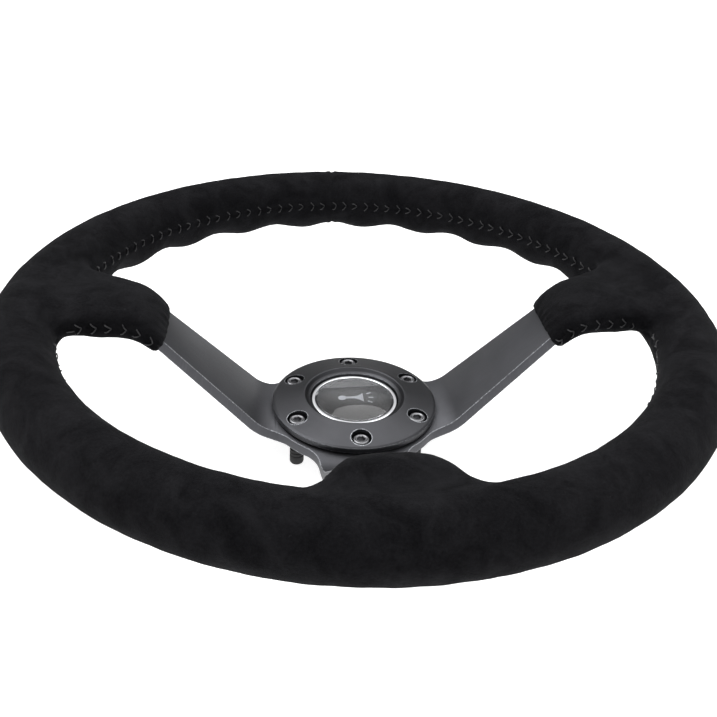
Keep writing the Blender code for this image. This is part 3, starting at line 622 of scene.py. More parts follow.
def dust_group():
    """Specks and faint haze of dust on faces that look up."""
    inputs = (("Speck Scale", 900.0), ("Amount", 1.0))
    group, source, sink = new_group("dust", inputs, (("Mask", "NodeSocketFloat"),))
    place = object_coordinates(group)
    speck = noise_node(group, place, source.outputs["Speck Scale"], detail=2.0, rough=0.7)
    specks = range_node(group, speck, 0.70, 0.80)
    haze = noise_node(group, place, 35.0, detail=6.0, rough=0.65)
    hazes = range_node(group, haze, 0.45, 0.85, 0.0, 0.35)
    split = group.nodes.new("ShaderNodeSeparateXYZ")
    group.links.new(group.nodes.new("ShaderNodeNewGeometry").outputs["Normal"], split.inputs[0])
    upward = range_node(group, split.outputs["Z"], 0.1, 0.9)
    both = math_node(group, "ADD", specks, hazes, clamp=True)
    lying = math_node(group, "MULTIPLY", both, upward)
    group.links.new(math_node(group, "MULTIPLY", lying, source.outputs["Amount"]), sink.inputs["Mask"])
    return group


def nap_group():
    """Suede: the brushed patches of the nap, its tufts and its fibres."""
    inputs = (("Patch Scale", 70.0), ("Tuft Scale", 900.0), ("Fibre Scale", 4200.0))
    outputs = (("Shade", "NodeSocketFloat"), ("Height", "NodeSocketFloat"))
    group, source, sink = new_group("suede nap", inputs, outputs)
    place = object_coordinates(group)
    patch_scale = source.outputs["Patch Scale"]
    patches = noise_node(group, place, patch_scale, detail=6.0, rough=0.62, distortion=1.2)
    tufts = noise_node(group, place, source.outputs["Tuft Scale"], detail=5.0, rough=0.7)
    fibres = noise_node(group, place, source.outputs["Fibre Scale"], detail=3.0, rough=0.8)
    broad = range_node(group, patches, 0.36, 0.66)
    fine = range_node(group, tufts, 0.30, 0.72)
    hair = range_node(group, fibres, 0.32, 0.70)
    shade = math_node(group, "MULTIPLY", broad, 0.42)
    shade = math_node(group, "ADD", shade, math_node(group, "MULTIPLY", fine, 0.36))
    shade = math_node(group, "ADD", shade, math_node(group, "MULTIPLY", hair, 0.22), clamp=True)
    tuft_height = math_node(group, "MULTIPLY", fine, 0.6)
    height = math_node(group, "ADD", tuft_height, math_node(group, "MULTIPLY", hair, 0.4))
    group.links.new(shade, sink.inputs["Shade"])
    group.links.new(height, sink.inputs["Height"])
    return group


GROUP_MAKERS = {
    "surface grain": grain_group,
    "edge wear and highlight": edge_group,
    "dust": dust_group,
    "suede nap": nap_group,
}


def use_group(tree, name, **values):
    """Places a shared group in a material, with its own values (underscores stand for spaces)."""
    node = tree.nodes.new("ShaderNodeGroup")
    node.node_tree = bpy.data.node_groups.get(name) or GROUP_MAKERS[name]()
    for label, value in values.items():
        node.inputs[label.replace("_", " ")].default_value = value
    return node


def new_material(name, **values):
    """A material with its own values on the shader (underscores stand for spaces)."""
    made = bpy.data.materials.new(name)
    made.use_nodes = True
    shader = made.node_tree.nodes["Principled BSDF"]
    for label, value in values.items():
        shader.inputs[label.replace("_", " ")].default_value = value
    return made, made.node_tree, shader


def drive(tree, shader, colour, roughness=None):
    """Links the sockets that vary to the shader."""
    tree.links.new(colour, shader.inputs["Base Color"])
    if roughness is not None:
        tree.links.new(roughness, shader.inputs["Roughness"])


def mix_colours(tree, mask, first, second):
    """Colour from first to second by mask. Each is a colour tuple or a socket."""
    node = tree.nodes.new("ShaderNodeMix")
    node.data_type = "RGBA"
    tree.links.new(mask, node.inputs["Factor"])
    for socket, value in ((node.inputs[6], first), (node.inputs[7], second)):
        if isinstance(value, bpy.types.NodeSocket):
            tree.links.new(value, socket)
        else:
            socket.default_value = (*value, 1.0)
    return node.outputs[2]


def bump(tree, shader, height, strength, distance):
    node = tree.nodes.new("ShaderNodeBump")
    node.inputs["Strength"].default_value = strength
    node.inputs["Distance"].default_value = distance
    tree.links.new(height, node.inputs["Height"])
    tree.links.new(node.outputs["Normal"], shader.inputs["Normal"])
    return node


def suede_material(colours):
    made, tree, shader = new_material(
        "black suede",
        Specular_IOR_Level=0.04,
        Sheen_Weight=0.03,
        Sheen_Roughness=0.42,
        Sheen_Tint=(0.55, 0.56, 0.60, 1.0),
    )
    nap = use_group(tree, "suede nap")
    colour = mix_colours(tree, nap.outputs["Shade"], colours.suede_dark, colours.suede_light)
    lint = use_group(tree, "dust", Speck_Scale=700.0, Amount=0.10)
    colour = mix_colours(tree, lint.outputs["Mask"], colour, (0.16, 0.16, 0.17))
    drive(tree, shader, colour, range_node(tree, nap.outputs["Shade"], 0.0, 1.0, 0.98, 0.82))
    bump(tree, shader, nap.outputs["Height"], 0.55, 0.0005)
    return made


def anodised_material(colours, name, grain_scale, streaks, roughness, depth):
    """Black anodised aluminium. Streaks are brush marks that run outwards; depth scales the colour."""
    made, tree, shader = new_material(name, Metallic=0.85)
    black = tuple(c * depth for c in colours.anodised)
    grain = use_group(tree, "surface grain", Grain_Scale=grain_scale, Patch_Scale=45.0)
    edges = use_group(tree, "edge wear and highlight", Radius=0.0009, Break_Up=1400.0, Amount=0.9)
    darker = tuple(c * 0.80 for c in black)
    patchy = range_node(tree, grain.outputs["Patches"], 0.30, 0.70)
    colour = mix_colours(tree, patchy, darker, black)
    height = grain.outputs["Grain"]
    if streaks:
        split = tree.nodes.new("ShaderNodeSeparateXYZ")
        tree.links.new(object_coordinates(tree), split.inputs[0])
        across = math_node(tree, "ARCTAN2", split.outputs["Y"], split.outputs["X"])
        flat = math_node(tree, "MULTIPLY", split.outputs["X"], split.outputs["X"])
        other = math_node(tree, "MULTIPLY", split.outputs["Y"], split.outputs["Y"])
        out = math_node(tree, "SQRT", math_node(tree, "ADD", flat, other))
        joined = tree.nodes.new("ShaderNodeCombineXYZ")
        tree.links.new(math_node(tree, "MULTIPLY", across, 340.0), joined.inputs["X"])
        tree.links.new(math_node(tree, "MULTIPLY", out, 55.0), joined.inputs["Y"])
        marks = noise_node(tree, joined.outputs[0], 1.0, detail=4.0, rough=0.6)
        height = math_node(tree, "ADD", math_node(tree, "MULTIPLY", marks, 1.4), height)
        lighter = tuple(c * 1.22 for c in black)
        strength = range_node(tree, marks, 0.50, 0.72, 0.0, 0.55)
        colour = mix_colours(tree, strength, colour, lighter)
    # Painted highlight: every rounded edge is lightened to the light edge colour, partly as wear and partly
    # as a highlight line
    colour = mix_colours(tree, edges.outputs["Mask"], colour, colours.bare_edge_and_highlight)
    drive(tree, shader, colour, range_node(tree, height, 0.3, 0.9, *roughness))
    bump(tree, shader, height, 0.22, 0.00012)
    return made


def metal_material(name, colour, roughness, grain_scale=2500.0, wear=0.0, lighter_edges=(0.5, 0.5, 0.5)):
    """Plain metal with fine grain, faint patches of tarnish and optional edges rubbed lighter."""
    made, tree, shader = new_material(name, Metallic=1.0)
    grain = use_group(tree, "surface grain", Grain_Scale=grain_scale, Patch_Scale=160.0)
    dull = tuple(c * 0.72 for c in colour)
    shade = mix_colours(tree, range_node(tree, grain.outputs["Patches"], 0.35, 0.7), dull, colour)
    if wear:
        edges = use_group(tree, "edge wear and highlight", Radius=0.0004, Break_Up=2200.0, Amount=wear)
        shade = mix_colours(tree, edges.outputs["Mask"], shade, lighter_edges)
    drive(tree, shader, shade, range_node(tree, grain.outputs["Grain"], 0.3, 0.7, *roughness))
    bump(tree, shader, grain.outputs["Grain"], 0.12, 0.00008)
    return made


def plastic_material(name, colour, roughness, grain_scale, dust=0.05, strength=0.3):
    """Moulded plastic, rubber or foam."""
    made, tree, shader = new_material(name)
    grain = use_group(tree, "surface grain", Grain_Scale=grain_scale, Patch_Scale=90.0)
    light = tuple(min(1.0, c * 1.5) for c in colour)
    shade = mix_colours(tree, range_node(tree, grain.outputs["Patches"], 0.3, 0.75), colour, light)
    lint = use_group(tree, "dust", Speck_Scale=1300.0, Amount=dust)
    shade = mix_colours(tree, lint.outputs["Mask"], shade, (0.20, 0.20, 0.20))
    drive(tree, shader, shade, range_node(tree, grain.outputs["Grain"], 0.3, 0.7, *roughness))
    bump(tree, shader, grain.outputs["Grain"], strength, 0.0002)
    return made


def chrome_material():
    made, tree, shader = new_material("polished chrome", Metallic=1.0)
    grain = use_group(tree, "surface grain", Grain_Scale=1800.0, Patch_Scale=220.0)
    haze = range_node(tree, grain.outputs["Patches"], 0.35, 0.75)
    colour = mix_colours(tree, haze, (0.80, 0.81, 0.83), (0.72, 0.73, 0.76))
    drive(tree, shader, colour, range_node(tree, haze, 0.0, 1.0, 0.05, 0.13))
    return made


def thread_material(colours):
    """Waxed two-ply thread: a twist as a slanting wave, with painted shade in the grooves between the
    plies, and a low gloss.
    """
    made, tree, shader = new_material("waxed thread", Roughness=0.45)
    twist = tree.nodes.new("ShaderNodeTexWave")
    twist.inputs["Scale"].default_value = 900.0
    twist.inputs["Distortion"].default_value = 1.5
    tree.links.new(object_coordinates(tree), twist.inputs["Vector"])
    # Painted shade: the wave's low parts, the grooves between the plies, take a darker copy of the thread
    # colour
    dark = tuple(c * 0.35 for c in colours.thread)
    drive(tree, shader, mix_colours(tree, twist.outputs["Fac"], dark, colours.thread))
    bump(tree, shader, twist.outputs["Fac"], 0.4, 0.0001)
    return made


def dome_material():
    """Clear cast resin."""
    made, tree, shader = new_material("clear resin dome", Transmission_Weight=1.0, IOR=1.50)
    lint = use_group(tree, "dust", Speck_Scale=1800.0, Amount=0.15)
    mask = lint.outputs["Mask"]
    colour = mix_colours(tree, mask, (0.93, 0.94, 0.96), (0.75, 0.76, 0.78))
    drive(tree, shader, colour, range_node(tree, mask, 0.0, 1.0, 0.02, 0.20))
    return made


def plate_finish(colours):
    return anodised_material(colours, "anodised spoke plate", 2600.0, True, (0.34, 0.50), 1.0)


def ring_finish(colours):
    return anodised_material(colours, "anodised hub ring", 3400.0, False, (0.34, 0.48), 0.55)


COLOURED = {
    "suede": suede_material,
    "plate": plate_finish,
    "ring": ring_finish,
    "thread": thread_material,
}
# Name, colour, roughness span, grain scale, then wear for metals or dust and bump strength for plastics
METALS = {
    "screw": ("black oxide screw", (0.20, 0.20, 0.21), (0.22, 0.36), 3000.0, 0.5),
    "steel": ("zinc plated steel", (0.60, 0.60, 0.57), (0.28, 0.44), 900.0),
    "spring": ("drawn spring wire", (0.52, 0.52, 0.53), (0.20, 0.34), 2200.0),
    "brass": ("contact brass", (0.70, 0.50, 0.20), (0.24, 0.40), 1600.0),
    "silver": ("silver foil print", (0.62, 0.63, 0.66), (0.30, 0.40), 2800.0),
}
PLASTICS = {
    "rubber": ("black rubber", (0.012, 0.012, 0.013), (0.55, 0.75), 2600.0, 0.10),
    "plastic": ("black moulded plastic", (0.012, 0.012, 0.013), (0.38, 0.52), 3200.0),
    "foil": ("satin black foil", (0.006, 0.006, 0.007), (0.25, 0.32), 2400.0, 0.0, 0.05),
}
CLEAR_AND_CHROME = {"chrome": chrome_material, "dome": dome_material}
MADE = {}


def make_material(key):
    if key in COLOURED:
        return COLOURED[key](bpy.context.scene.wheel_colours)
    if key in METALS:
        return metal_material(*METALS[key])
    if key in PLASTICS:
        return plastic_material(*PLASTICS[key])
    return CLEAR_AND_CHROME[key]()


def material(key):
    """Each finish is made once and then shared."""
    if key not in MADE:
        MADE[key] = make_material(key)
    return MADE[key]


def dress(node, key):
    """A model node whose own shape is shown gets a better material."""
    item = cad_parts[node]
    for number in range(len(item.material_slots)):
        item.material_slots[number].material = material(key)
    if not item.material_slots:
        item.data.materials.append(material(key))


# Pieces


class WHEEL_OT_grip(bpy.types.Operator):
    """Build the suede grip: rim and boots in one skin, with seams, finger waves and slots for the spokes"""

    bl_idname = "wheel.build_grip"
    bl_label = "Suede Grip"

    def execute(self, context):
        sizes = context.scene.wheel_sizes
        bpy.ops.mesh.primitive_torus_add(
            major_segments=180,
            minor_segments=32,
            major_radius=RIM_RADIUS,
            minor_radius=GRIP_RADIUS,
            location=(0, 0, RIM_Z),
        )
        grip = context.object
        grip.name = "suede_grip"
        grip.data.transform(grip.matrix_world)
        grip.matrix_world = Matrix.Identity(4)
        for angle in SPOKE_ANGLES:
            cut(grip, rough_boot(angle), "UNION")
        voxels = grip.modifiers.new("even skin", "REMESH")
        voxels.mode = "VOXEL"
        voxels.voxel_size = sizes.voxel * 1
        grip.data = evaluated_mesh(grip)
        grip.modifiers.clear()
        settle_on_field(grip.data, sizes)
        slot = bent_plate("helper", SLOT_GAP, PLATE_THICKNESS + 2 * SLOT_GAP, 8, 8)
        slot.data = evaluated_mesh(slot)
        slot.modifiers.clear()
        cut(grip, slot)
        finish_piece(grip, material("suede"), "wheel", ["suede_cover", "rim_foam"], sharp=60)
        return {"FINISHED"}


def rough_boot(angle):
    """A coarse block along one spoke, which the voxels and the field then shape."""
    stations = np.linspace(MOUTHS[angle] + 0.001, RIM_RADIUS, 9)
    shape = bmesh.new()
    spin = Matrix.Rotation(radians(angle), 3, "Z")
    across, heights, leans = LINES[angle]
    rings = []
    for foot in stations:
        half_widths, half_heights = boot_halves(np.full(2, foot), angle, np.array((-1, 1)))
        lean = np.interp(foot, across, leans)
        middle = Vector((foot, 0, np.interp(foot, across, heights)))
        up = Vector((-sin(lean), 0, cos(lean)))
        ring = []
        for side, top in BLOCK_CORNERS:
            half_width = float(half_widths[int(side > 0)])
            point = middle + Vector((0, side * half_width, 0)) + up * (top * float(half_heights[0]))
            ring.append(shape.verts.new(spin @ point))
        rings.append(ring)
    for ring, following in zip(rings, rings[1:]):
        for i in range(8):
            shape.faces.new((ring[i], ring[(i + 1) % 8], following[(i + 1) % 8], following[i]))
    shape.faces.new(rings[0])
    shape.faces.new(rings[-1])
    bmesh.ops.recalc_face_normals(shape, faces=shape.faces[:])
    return mesh_object("helper", mesh_from("helper", shape))


def settle_on_field(mesh, sizes):
    """Moves a skin's points onto the grip's field, evening them out on the way."""
    count = len(mesh.vertices)
    points = np.empty(count * 3)
    mesh.vertices.foreach_get("co", points)
    points = points.reshape(-1, 3)
    edges = np.empty(len(mesh.edges) * 2, int)
    mesh.edges.foreach_get("vertices", edges)
    edges = edges.reshape(-1, 2)
    ends = np.concatenate([edges, edges[:, ::-1]])
    degree = np.bincount(ends[:, 0], minlength=count)[:, None]
    for _ in range(3):
        points = to_grip_surface(points, sizes, rounds=2)
        around = np.stack([np.bincount(ends[:, 0], points[ends[:, 1], k], count) for k in range(3)], axis=1)
        points += 0.6 * (around / degree - points)
    points = to_grip_surface(points, sizes, rounds=4)
    mesh.vertices.foreach_set("co", points.ravel())
    mesh.update()


def boot_side(angle, sign):
    """Points along one side of a boot, from near its mouth to near the rim."""
    reach = np.linspace(MOUTHS[angle] + 0.003, RIM_INNER - 0.010, 12)
    half = boot_halves(reach, angle, sign)[0]
    up = np.interp(reach, *LINES[angle][:2])
    return [at(s, angle, z) + at(sign * h, angle + 90) for s, h, z in zip(reach, half, up)]


def seam_path(first, second, sizes):
    """Points on the seam from one boot's mouth, along the inside of the rim, to the next boot's mouth."""
    flare = asin(BOOT_SPREAD / RIM_INNER)
    start, stop = radians(first) + flare, radians(first) + radians((second - first) % 360) - flare
    leaving = boot_side(first, 1)
    arriving = boot_side(second, -1)
    angles = np.linspace(start, stop, 160)
    rim = [Vector((RIM_INNER * cos(a), RIM_INNER * sin(a), RIM_Z)) for a in angles]
    rough = np.array(leaving + rim + arriving[::-1])
    gone = np.concatenate([[0], np.cumsum(np.linalg.norm(np.diff(rough, axis=0), axis=1))])
    count = round(gone[-1] / sizes.stitch_pitch)
    even = np.linspace(0, gone[-1], count + 1)
    points = np.stack([np.interp(even, gone, rough[:, k]) for k in range(3)], axis=1)
    points = to_grip_surface(points, sizes)
    along = np.gradient(points, axis=0)
    return points, along / np.linalg.norm(along, axis=1)[:, None]


class WHEEL_OT_stitches(bpy.types.Operator):
    """Build the hand stitching along the inside of the rim and the sides of the boots"""

    bl_idname = "wheel.build_stitches"
    bl_label = "Stitches"

    def execute(self, context):
        sizes = context.scene.wheel_sizes
        arcs = (("lacing_upper", 0, 180), ("lacing_lower_left", 180, 270), ("lacing_lower_right", 270, 0))
        for node, first, second in arcs:
            points, along = seam_path(first, second, sizes)
            normal = grip_gradient(points, sizes)
            normal /= np.linalg.norm(normal, axis=1)[:, None]
            across = np.cross(normal, along)
            thread = bpy.data.curves.new(f"stitches_{node}", "CURVE")
            thread.dimensions = "3D"
            thread.bevel_depth = sizes.thread_radius
            thread.bevel_resolution = 2
            thread.use_fill_caps = True
            rough = np.sin(np.arange(len(points)) * 2.399)
            for sign in (-1, 1):
                far = points + along * (LEG_ALONG + 0.0005 * rough[:, None])
                far += across * sign * (LEG_ACROSS + 0.0004 * rough[::-1, None])
                far = to_grip_surface(far, sizes)
                middle = to_grip_surface((points + far) / 2 + normal * 0.001, sizes)
                lines = zip(points, middle, far, normal)
                for root, crest, tip, out in lines:
                    leg = thread.splines.new("POLY")
                    leg.points.add(4)
                    quarter = (root + crest) / 2 + out * 0.0004
                    last = (crest + tip) / 2 + out * 0.00045
                    stops = (root - out * 0.0002, quarter, crest + out * 0.0005, last, tip - out * 0.0006)
                    for point, place in zip(leg.points, stops):
                        point.co = (*place, 1)
            piece = mesh_object(f"stitches_{node}", thread)
            finish_piece(piece, material("thread"), "wheel", [node])
        return {"FINISHED"}


class WHEEL_OT_spokes(bpy.types.Operator):
    """Build the bent spoke plate with rounded edges and its holes"""

    bl_idname = "wheel.build_spokes"
    bl_label = "Spoke Plate"

    def execute(self, context):
        sizes = context.scene.wheel_sizes
        plate = bent_plate("spokes", 0.0, PLATE_THICKNESS, 14, 10)
        bevel(plate, sizes.edge_round, 3, 60)
        plate.data = evaluated_mesh(plate)
        plate.modifiers.clear()
        low, high = FACE_Z - 0.02, FACE_Z + 0.01
        cut(plate, plug(CUP_HIGH.x - CUP_FLANGE_WIDTH, low, high, 96))
        for angle in BOLT_ANGLES:
            cut(plate, plug(SCREW_HOLE_RADIUS, low, high, 32, at(BOLT_RADIUS, angle)))
        finish_piece(plate, material("plate"), "wheel", ["spoke_plate"])
        return {"FINISHED"}


class WHEEL_OT_hub_ring(bpy.types.Operator):
    """Build the turned hub ring with its crest and counterbores"""

    bl_idname = "wheel.build_hub_ring"
    bl_label = "Hub Ring"

    def execute(self, context):
        radius, crest = RING_HIGH.x, RING_HIGH.z
        bottom = RING_LOW.z
        recess = CUP_HIGH.x + TOUCH_GAP
        recess_top = CUP_HIGH.z + TOUCH_GAP
        profile = rounded(
            [
                (BUTTON_BORE, FACE_Z + 0.0055, 0.0003),
                (BUTTON_BORE + 0.0014, FACE_Z + 0.0061, 0.0022),
                (BUTTON_BORE + 0.0029, crest + 0.0001, 0.0007),
                (BUTTON_BORE + 0.0062, crest - 0.0007, 0.0060),
                (radius - 0.0012, FACE_Z + 0.0045, 0.0008),
                (radius, FACE_Z + 0.0039, 0.0004),
                (radius, bottom + RELIEF_HEIGHT, 0.0003),
                (radius - RELIEF_WIDTH, bottom + RELIEF_HEIGHT, 0.0),
                (radius - RELIEF_WIDTH, bottom, 0.0),
                (recess, bottom, 0.0),
                (recess, recess_top, 0.0),
                (BUTTON_BORE, recess_top, 0.0002),
            ],
            steps=5,
        )
        ring = mesh_object("hub_cover_ring", lathe("hub_cover_ring", profile, 192))
        seat = SCREW_HIGH.z - SCREW_HEAD_HEIGHT - TOUCH_GAP
        for angle in BOLT_ANGLES:
            place = at(BOLT_RADIUS, angle)
            cut(ring, plug(COUNTERBORE_RADIUS, seat, crest + 0.003, 48, place))
            cut(ring, plug(SCREW_HOLE_RADIUS, bottom - CUT_MARGIN, seat + CUT_MARGIN, 32, place))
        bevel(ring, 0.00022, 2, 55)
        finish_piece(ring, material("ring"), "wheel", ["hub_ring"])
        return {"FINISHED"}


class WHEEL_OT_screws(bpy.types.Operator):
    """Build the six socket head screws and the rubber caps on their ends"""

    bl_idname = "wheel.build_screws"
    bl_label = "Screws and Caps"

    def execute(self, context):
        top, tip = SCREW_HIGH.z, SCREW_LOW.z
        head = (SCREW_HIGH.x - SCREW_LOW.x) / 2
        seat = top - SCREW_HEAD_HEIGHT
        corners = [(0, top - 0.0002, 0), (0.0027, top - 0.0002, 0.0002), (0.0031, top, 0.0002)]
        corners += [(head, top, 0.0009), (head, seat, 0.0002), (SCREW_RADIUS, seat, 0.0003)]
        z = PLATE_LOW.z - 0.0005
        while z > tip + 1.5 * THREAD_PITCH:
            corners += [(SCREW_RADIUS, z, 0), (SCREW_RADIUS - THREAD_DEPTH, z - THREAD_PITCH / 2, 0)]
            z -= THREAD_PITCH
        corners += [(SCREW_RADIUS, z, 0), (SCREW_RADIUS - 0.0005, tip, 0), (0, tip, 0)]
        screw = mesh_object("helper_screw", lathe("screw", rounded(corners, 3), 48))
        cut(screw, plug(SOCKET_RADIUS, top - SOCKET_DEPTH, top + CUT_MARGIN, 6))
        cut(screw, plug(0.0021, top - 0.0003, top + 0.0004, 24, top=0.0028))
        cap = mesh_object("helper_cap", lathe("cap", rounded(cap_corners(), 4), 48))
        for number, angle in enumerate(BOLT_ANGLES, 1):
            place = at(BOLT_RADIUS, angle)
            for name, source, key, slot in (
                ("hub_screw", screw, "screw", "black_steel"),
                ("screw_cap", cap, "rubber", "black_rubber"),
            ):
                piece = mesh_object(f"fine_{name}_{number}", source.data.copy())
                turned = Matrix.Rotation(radians(angle * 1.7 + 11 * number), 4, "Z")
                piece.data.transform(Matrix.Translation(place) @ turned)
                finish_piece(piece, material(key), "wheel", [f"{name}_{number}"])
        bpy.data.objects.remove(screw)
        bpy.data.objects.remove(cap)
        return {"FINISHED"}


def cap_corners():
    """A push-on rubber cap with two grip rings and a rounded foot."""
    outer = (CAP_HIGH.x - CAP_LOW.x) / 2
    foot, top = CAP_LOW.z, CAP_HIGH.z
    floor = foot + CAP_END
    corners = [(0, floor, 0), (CAP_BORE_RADIUS, floor, 0.0002), (CAP_BORE_RADIUS, top, 0.0002)]
    corners += [(outer, top, 0.0003), (outer, top - 0.0012, 0.0002)]
    for drop in (0.0014, 0.0034):
        corners += [(outer - 0.0003, top - drop, 0.0001), (outer - 0.0003, top - drop - 0.0006, 0.0001)]
        corners += [(outer, top - drop - 0.0008, 0.0001), (outer, top - drop - 0.0018, 0.0001)]
    corners += [(outer, foot, 0.0014), (0, foot, 0)]
    return corners


class WHEEL_OT_horn_button(bpy.types.Operator):
    """Build the moving horn button: body, chrome ring, badge, symbol and clear dome"""

    bl_idname = "wheel.build_horn_button"
    bl_label = "Horn Button"

    def execute(self, context):
        radius = TRIM_HIGH.x
        inner = radius - TRIM_WALL
        inlay = LENS_HIGH.x
        lip = BODY_HIGH.x
        spigot, shoulder = BODY_HIGH.z, TRIM_LOW.z - TOUCH_GAP
        lip_top = CUP_HIGH.z
        body = rounded(
            [
                (0, spigot, 0),
                (inlay, spigot, 0.0002),
                (inlay, shoulder, 0.0001),
                (radius, shoulder, 0.0003),
                (radius, lip_top, 0.0002),
                (lip, lip_top, 0.0003),
                (lip, BODY_LOW.z, 0.0003),
                (radius - BODY_WALL, BODY_LOW.z, 0.0002),
                (radius - BODY_WALL, spigot - BODY_ROOF, 0.0004),
                (0, spigot - BODY_ROOF, 0),
            ]
        )
        trim = rounded(
            [
                (inner, TRIM_LOW.z, 0.0001),
                (radius, TRIM_LOW.z, 0.0001),
                (radius, TRIM_HIGH.z, 0.0006),
                (inner + 0.0005, TRIM_HIGH.z, 0.0004),
                (inner, TRIM_HIGH.z - 0.0007, 0.0003),
            ]
        )
        dome = [(0, LENS_LOW.z), (inlay - 0.0002, LENS_LOW.z), (inlay, LENS_LOW.z + 0.0002)]
        for i in range(DOME_STEPS + 1):
            share = 1 - i / DOME_STEPS
            dome.append((inlay * share, LENS_HIGH.z - DOME_RISE * share**2.3))
        high, low = BADGE_HIGH.z, BADGE_LOW.z
        badge = rounded([(0, high, 0), (inlay, high, 0.0001), (inlay, low, 0.0001), (0, low, 0)])
        pieces = (
            ("horn_button_body", body, "plastic", "black_plastic", "button_body"),
            ("horn_trim_ring", trim, "chrome", "chrome_trim", "button_trim_ring"),
            ("horn_dome", dome, "dome", "resin_dome", "button_lens"),
            ("horn_badge", badge, "foil", "badge_foil", "button_badge"),
        )
        for name, profile, key, slot, node in pieces:
            piece = mesh_object(name, lathe(name, profile, 144))
            finish_piece(piece, material(key), "horn_button", [node])
        symbol = mesh_object("horn_symbol", horn_symbol(BADGE_HIGH.z + 0.00002))
        finish_piece(symbol, material("silver"), "horn_button", [])
        dress("moving_contact", "brass")
        return {"FINISHED"}


def horn_symbol(height):
    """A plain horn pictogram: a bell, a tube, a bulb and three sound bars, as thin plates."""
    shape = bmesh.new()
    horn_edge = [(0.0045 - 0.0058 * t, 0.0008 + 0.0030 * (1 - t) ** 2.2) for t in np.linspace(0, 1, 12)]
    horn_edge.append((-0.0042, 0.0008))
    add_plate(shape, horn_edge + [(x, -y) for x, y in reversed(horn_edge)], height)
    bulb = [(-0.0062 + 0.0021 * cos(a), 0.0019 * sin(a)) for a in np.linspace(0.35, 2 * pi - 0.35, 24)]
    add_plate(shape, bulb, height)
    for angle in (-26, 0, 26):
        along, side = at(1, angle), at(1, angle + 90)
        start, end = along * 0.0072, along * 0.0098
        bar = [start + side * 0.00035, start - side * 0.00035, end - side * 0.00035, end + side * 0.00035]
        add_plate(shape, [(p.x, p.y) for p in bar], height)
    bmesh.ops.recalc_face_normals(shape, faces=shape.faces[:])
    return mesh_from("horn_symbol", shape)


def add_plate(shape, outline, height, thickness=0.00006):
    face = shape.faces.new([shape.verts.new((x, y, height)) for x, y in outline])
    raised = bmesh.ops.extrude_face_region(shape, geom=[face])["geom"]
    for vert in (g for g in raised if isinstance(g, bmesh.types.BMVert)):
        vert.co.z += thickness


class WHEEL_OT_housing(bpy.types.Operator):
    """Build the horn cup, and finish the contacts, spring, hoop and rivets"""

    bl_idname = "wheel.build_housing"
    bl_label = "Horn Housing and Core"

    def execute(self, context):
        inner, wall = BODY_HIGH.x + SLIDE_GAP, CUP_WALL
        corners = [(inner, CUP_HIGH.z, 0.0002), (CUP_HIGH.x, CUP_HIGH.z, 0.0002)]
        corners += [(CUP_HIGH.x, RING_LOW.z, 0.0001), (inner + wall, RING_LOW.z, 0.0003)]
        corners += [(inner + wall, CUP_LOW.z, 0.0010), (0.0205, CUP_LOW.z, 0.0002)]
        corners += [(0.0200, CUP_LOW.z + 0.0003, 0.0001), (0.0185, CUP_LOW.z + 0.0003, 0.0001)]
        corners += [(0.0180, CUP_LOW.z, 0.0002), (0, CUP_LOW.z, 0)]
        corners += [(0, CUP_LOW.z + wall, 0), (inner, CUP_LOW.z + wall, 0.0006)]
        cup = mesh_object("horn_housing", lathe("horn_housing", rounded(corners), 144))
        low, high = CUP_LOW.z - 0.002, CUP_LOW.z + 0.003
        cut(cup, plug(STUD_HOLE_RADIUS, low, high, 24))
        cut(cup, plug(RIVET_HOLE_RADIUS, low, high, 24, RIVET_PLACE))
        finish_piece(cup, material("plastic"), "wheel", ["horn_cup"])
        for node in ("contact_stud", "ground_plate", "ground_rivet", "live_terminal", "ground_terminal"):
            dress(node, "brass")
        dress("contact_nut", "steel")
        dress("return_spring", "spring")
        dress("core_hoop", "steel")
        for number in range(1, 7):
            dress(f"spoke_rivet_{number}", "steel")
        return {"FINISHED"}


# Stage


def floor_material(colours):
    made, tree, shader = new_material(
        "pale floor", Roughness=0.6, Emission_Color=(1.0, 1.0, 1.0, 1.0), Emission_Strength=0.9
    )
    grain = use_group(tree, "surface grain", Grain_Scale=300.0, Patch_Scale=4.0)
    dim = tuple(c * 0.985 for c in colours.floor)
    drive(tree, shader, mix_colours(tree, grain.outputs["Patches"], colours.floor, dim))
    return made


def light_overhead(tree):
    """A room that is bright overhead and dim near the horizon."""
    background = tree.nodes["Background"]
    background.inputs["Color"].default_value = (1.0, 1.0, 1.0, 1.0)
    split = tree.nodes.new("ShaderNodeSeparateXYZ")
    tree.links.new(tree.nodes.new("ShaderNodeTexCoord").outputs["Generated"], split.inputs[0])
    strength = range_node(tree, split.outputs["Z"], 0.42, 0.62, 0.10, 1.1)
    tree.links.new(strength, background.inputs["Strength"])


class WHEEL_OT_stage(bpy.types.Operator):
    """Build the pale floor, the soft studio light and the camera"""

    bl_idname = "wheel.build_stage"
    bl_label = "Stage"

    def execute(self, context):
        scene = context.scene
        shape = bmesh.new()
        bmesh.ops.create_grid(shape, x_segments=1, y_segments=1, size=6.0)
        floor = mesh_object("floor", mesh_from("floor", shape))
        floor.location.z = CAP_LOW.z - 0.0002
        floor.data.materials.append(floor_material(scene.wheel_colours))
        world = bpy.data.worlds.new("studio")
        world.use_nodes = True
        light_overhead(world.node_tree)
        scene.world = world
        for name, place, size, power in (
            ("key_softbox", (-0.55, 0.35, 1.15), 0.9, 9.0),
            ("top_softbox", (0.25, 0.60, 1.40), 1.2, 8.0),
            ("front_softbox", (0.50, -1.10, 0.80), 0.8, 3.0),
        ):
            light = bpy.data.lights.new(name, "AREA")
            light.shape = "DISK"
            light.size = size
            light.energy = power
            lamp = bpy.data.objects.new(name, light)
            scene.collection.objects.link(lamp)
            lamp.location = place
            toward = Vector((0, 0, RIM_Z)) - Vector(place)
            lamp.rotation_euler = toward.to_track_quat("-Z", "Y").to_euler()
        add_camera(scene)
        scene.view_settings.view_transform = "Standard"
        return {"FINISHED"}


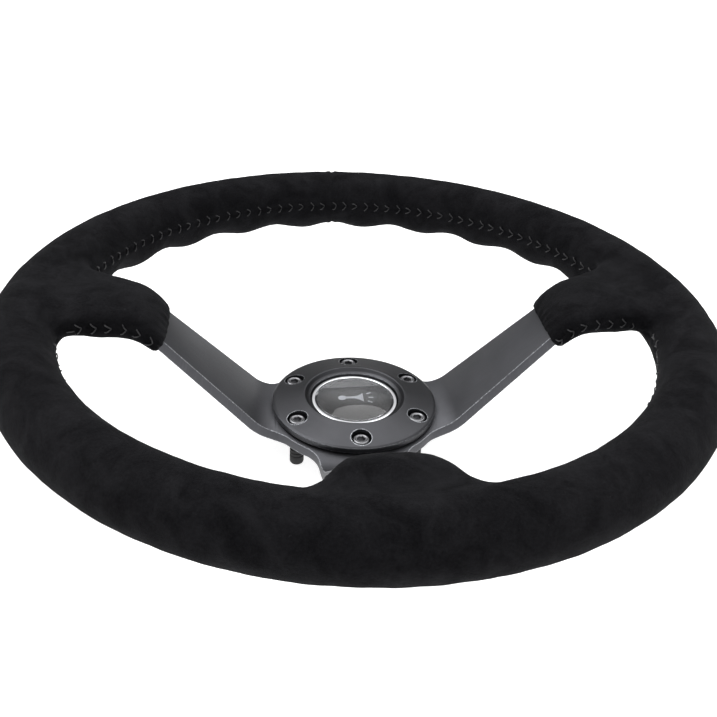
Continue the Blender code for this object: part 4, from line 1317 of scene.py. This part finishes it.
def add_camera(scene):
    """The camera, a little left of the bottom spoke and above the near rim."""
    bearing, rise, roll, distance = radians(-7.258), radians(28.833), radians(3.074), 0.4601
    away = Vector((sin(bearing) * cos(rise), -cos(bearing) * cos(rise), sin(rise)))
    ahead = -away
    right = ahead.cross(Vector((0, 0, 1))).normalized()
    up = right.cross(ahead)
    level = Matrix((right, up, away)).transposed().to_4x4()
    data = bpy.data.cameras.new("camera")
    data.lens = 46.765
    data.sensor_width = 36.0
    data.shift_x = -0.0004
    data.shift_y = -0.0582
    data.clip_start = 0.02
    camera = bpy.data.objects.new("camera", data)
    scene.collection.objects.link(camera)
    camera.matrix_world = (
        Matrix.Translation(Vector((0, 0, RIM_Z)) + away * distance) @ level @ Matrix.Rotation(roll, 4, "Z")
    )
    scene.camera = camera


BUILD_ORDER = (
    WHEEL_OT_grip,
    WHEEL_OT_stitches,
    WHEEL_OT_spokes,
    WHEEL_OT_hub_ring,
    WHEEL_OT_screws,
    WHEEL_OT_horn_button,
    WHEEL_OT_housing,
    WHEEL_OT_stage,
)


class WHEEL_PT_panel(bpy.types.Panel):
    """Sizes, colours and a button for each group of pieces"""

    bl_label = "Steering Wheel"
    bl_idname = "WHEEL_PT_panel"
    bl_space_type = "VIEW_3D"
    bl_region_type = "UI"
    bl_category = "Steering Wheel"

    def draw(self, context):
        for settings in (context.scene.wheel_sizes, context.scene.wheel_colours):
            box = self.layout.box()
            for name in settings.__annotations__:
                box.prop(settings, name)
        for operator in BUILD_ORDER:
            self.layout.operator(operator.bl_idname)


CLASSES = (WheelSizes, WheelColours, *BUILD_ORDER, WHEEL_PT_panel)


def register():
    for each in CLASSES:
        bpy.utils.register_class(each)
    bpy.types.Scene.wheel_sizes = PointerProperty(type=WheelSizes)
    bpy.types.Scene.wheel_colours = PointerProperty(type=WheelColours)


def unregister():
    del bpy.types.Scene.wheel_colours
    del bpy.types.Scene.wheel_sizes
    for each in reversed(CLASSES):
        bpy.utils.unregister_class(each)


def main():
    register()
    for operator in BUILD_ORDER:
        group, name = operator.bl_idname.split(".")
        getattr(getattr(bpy.ops, group), name)()


if __name__ == "__main__":
    main()
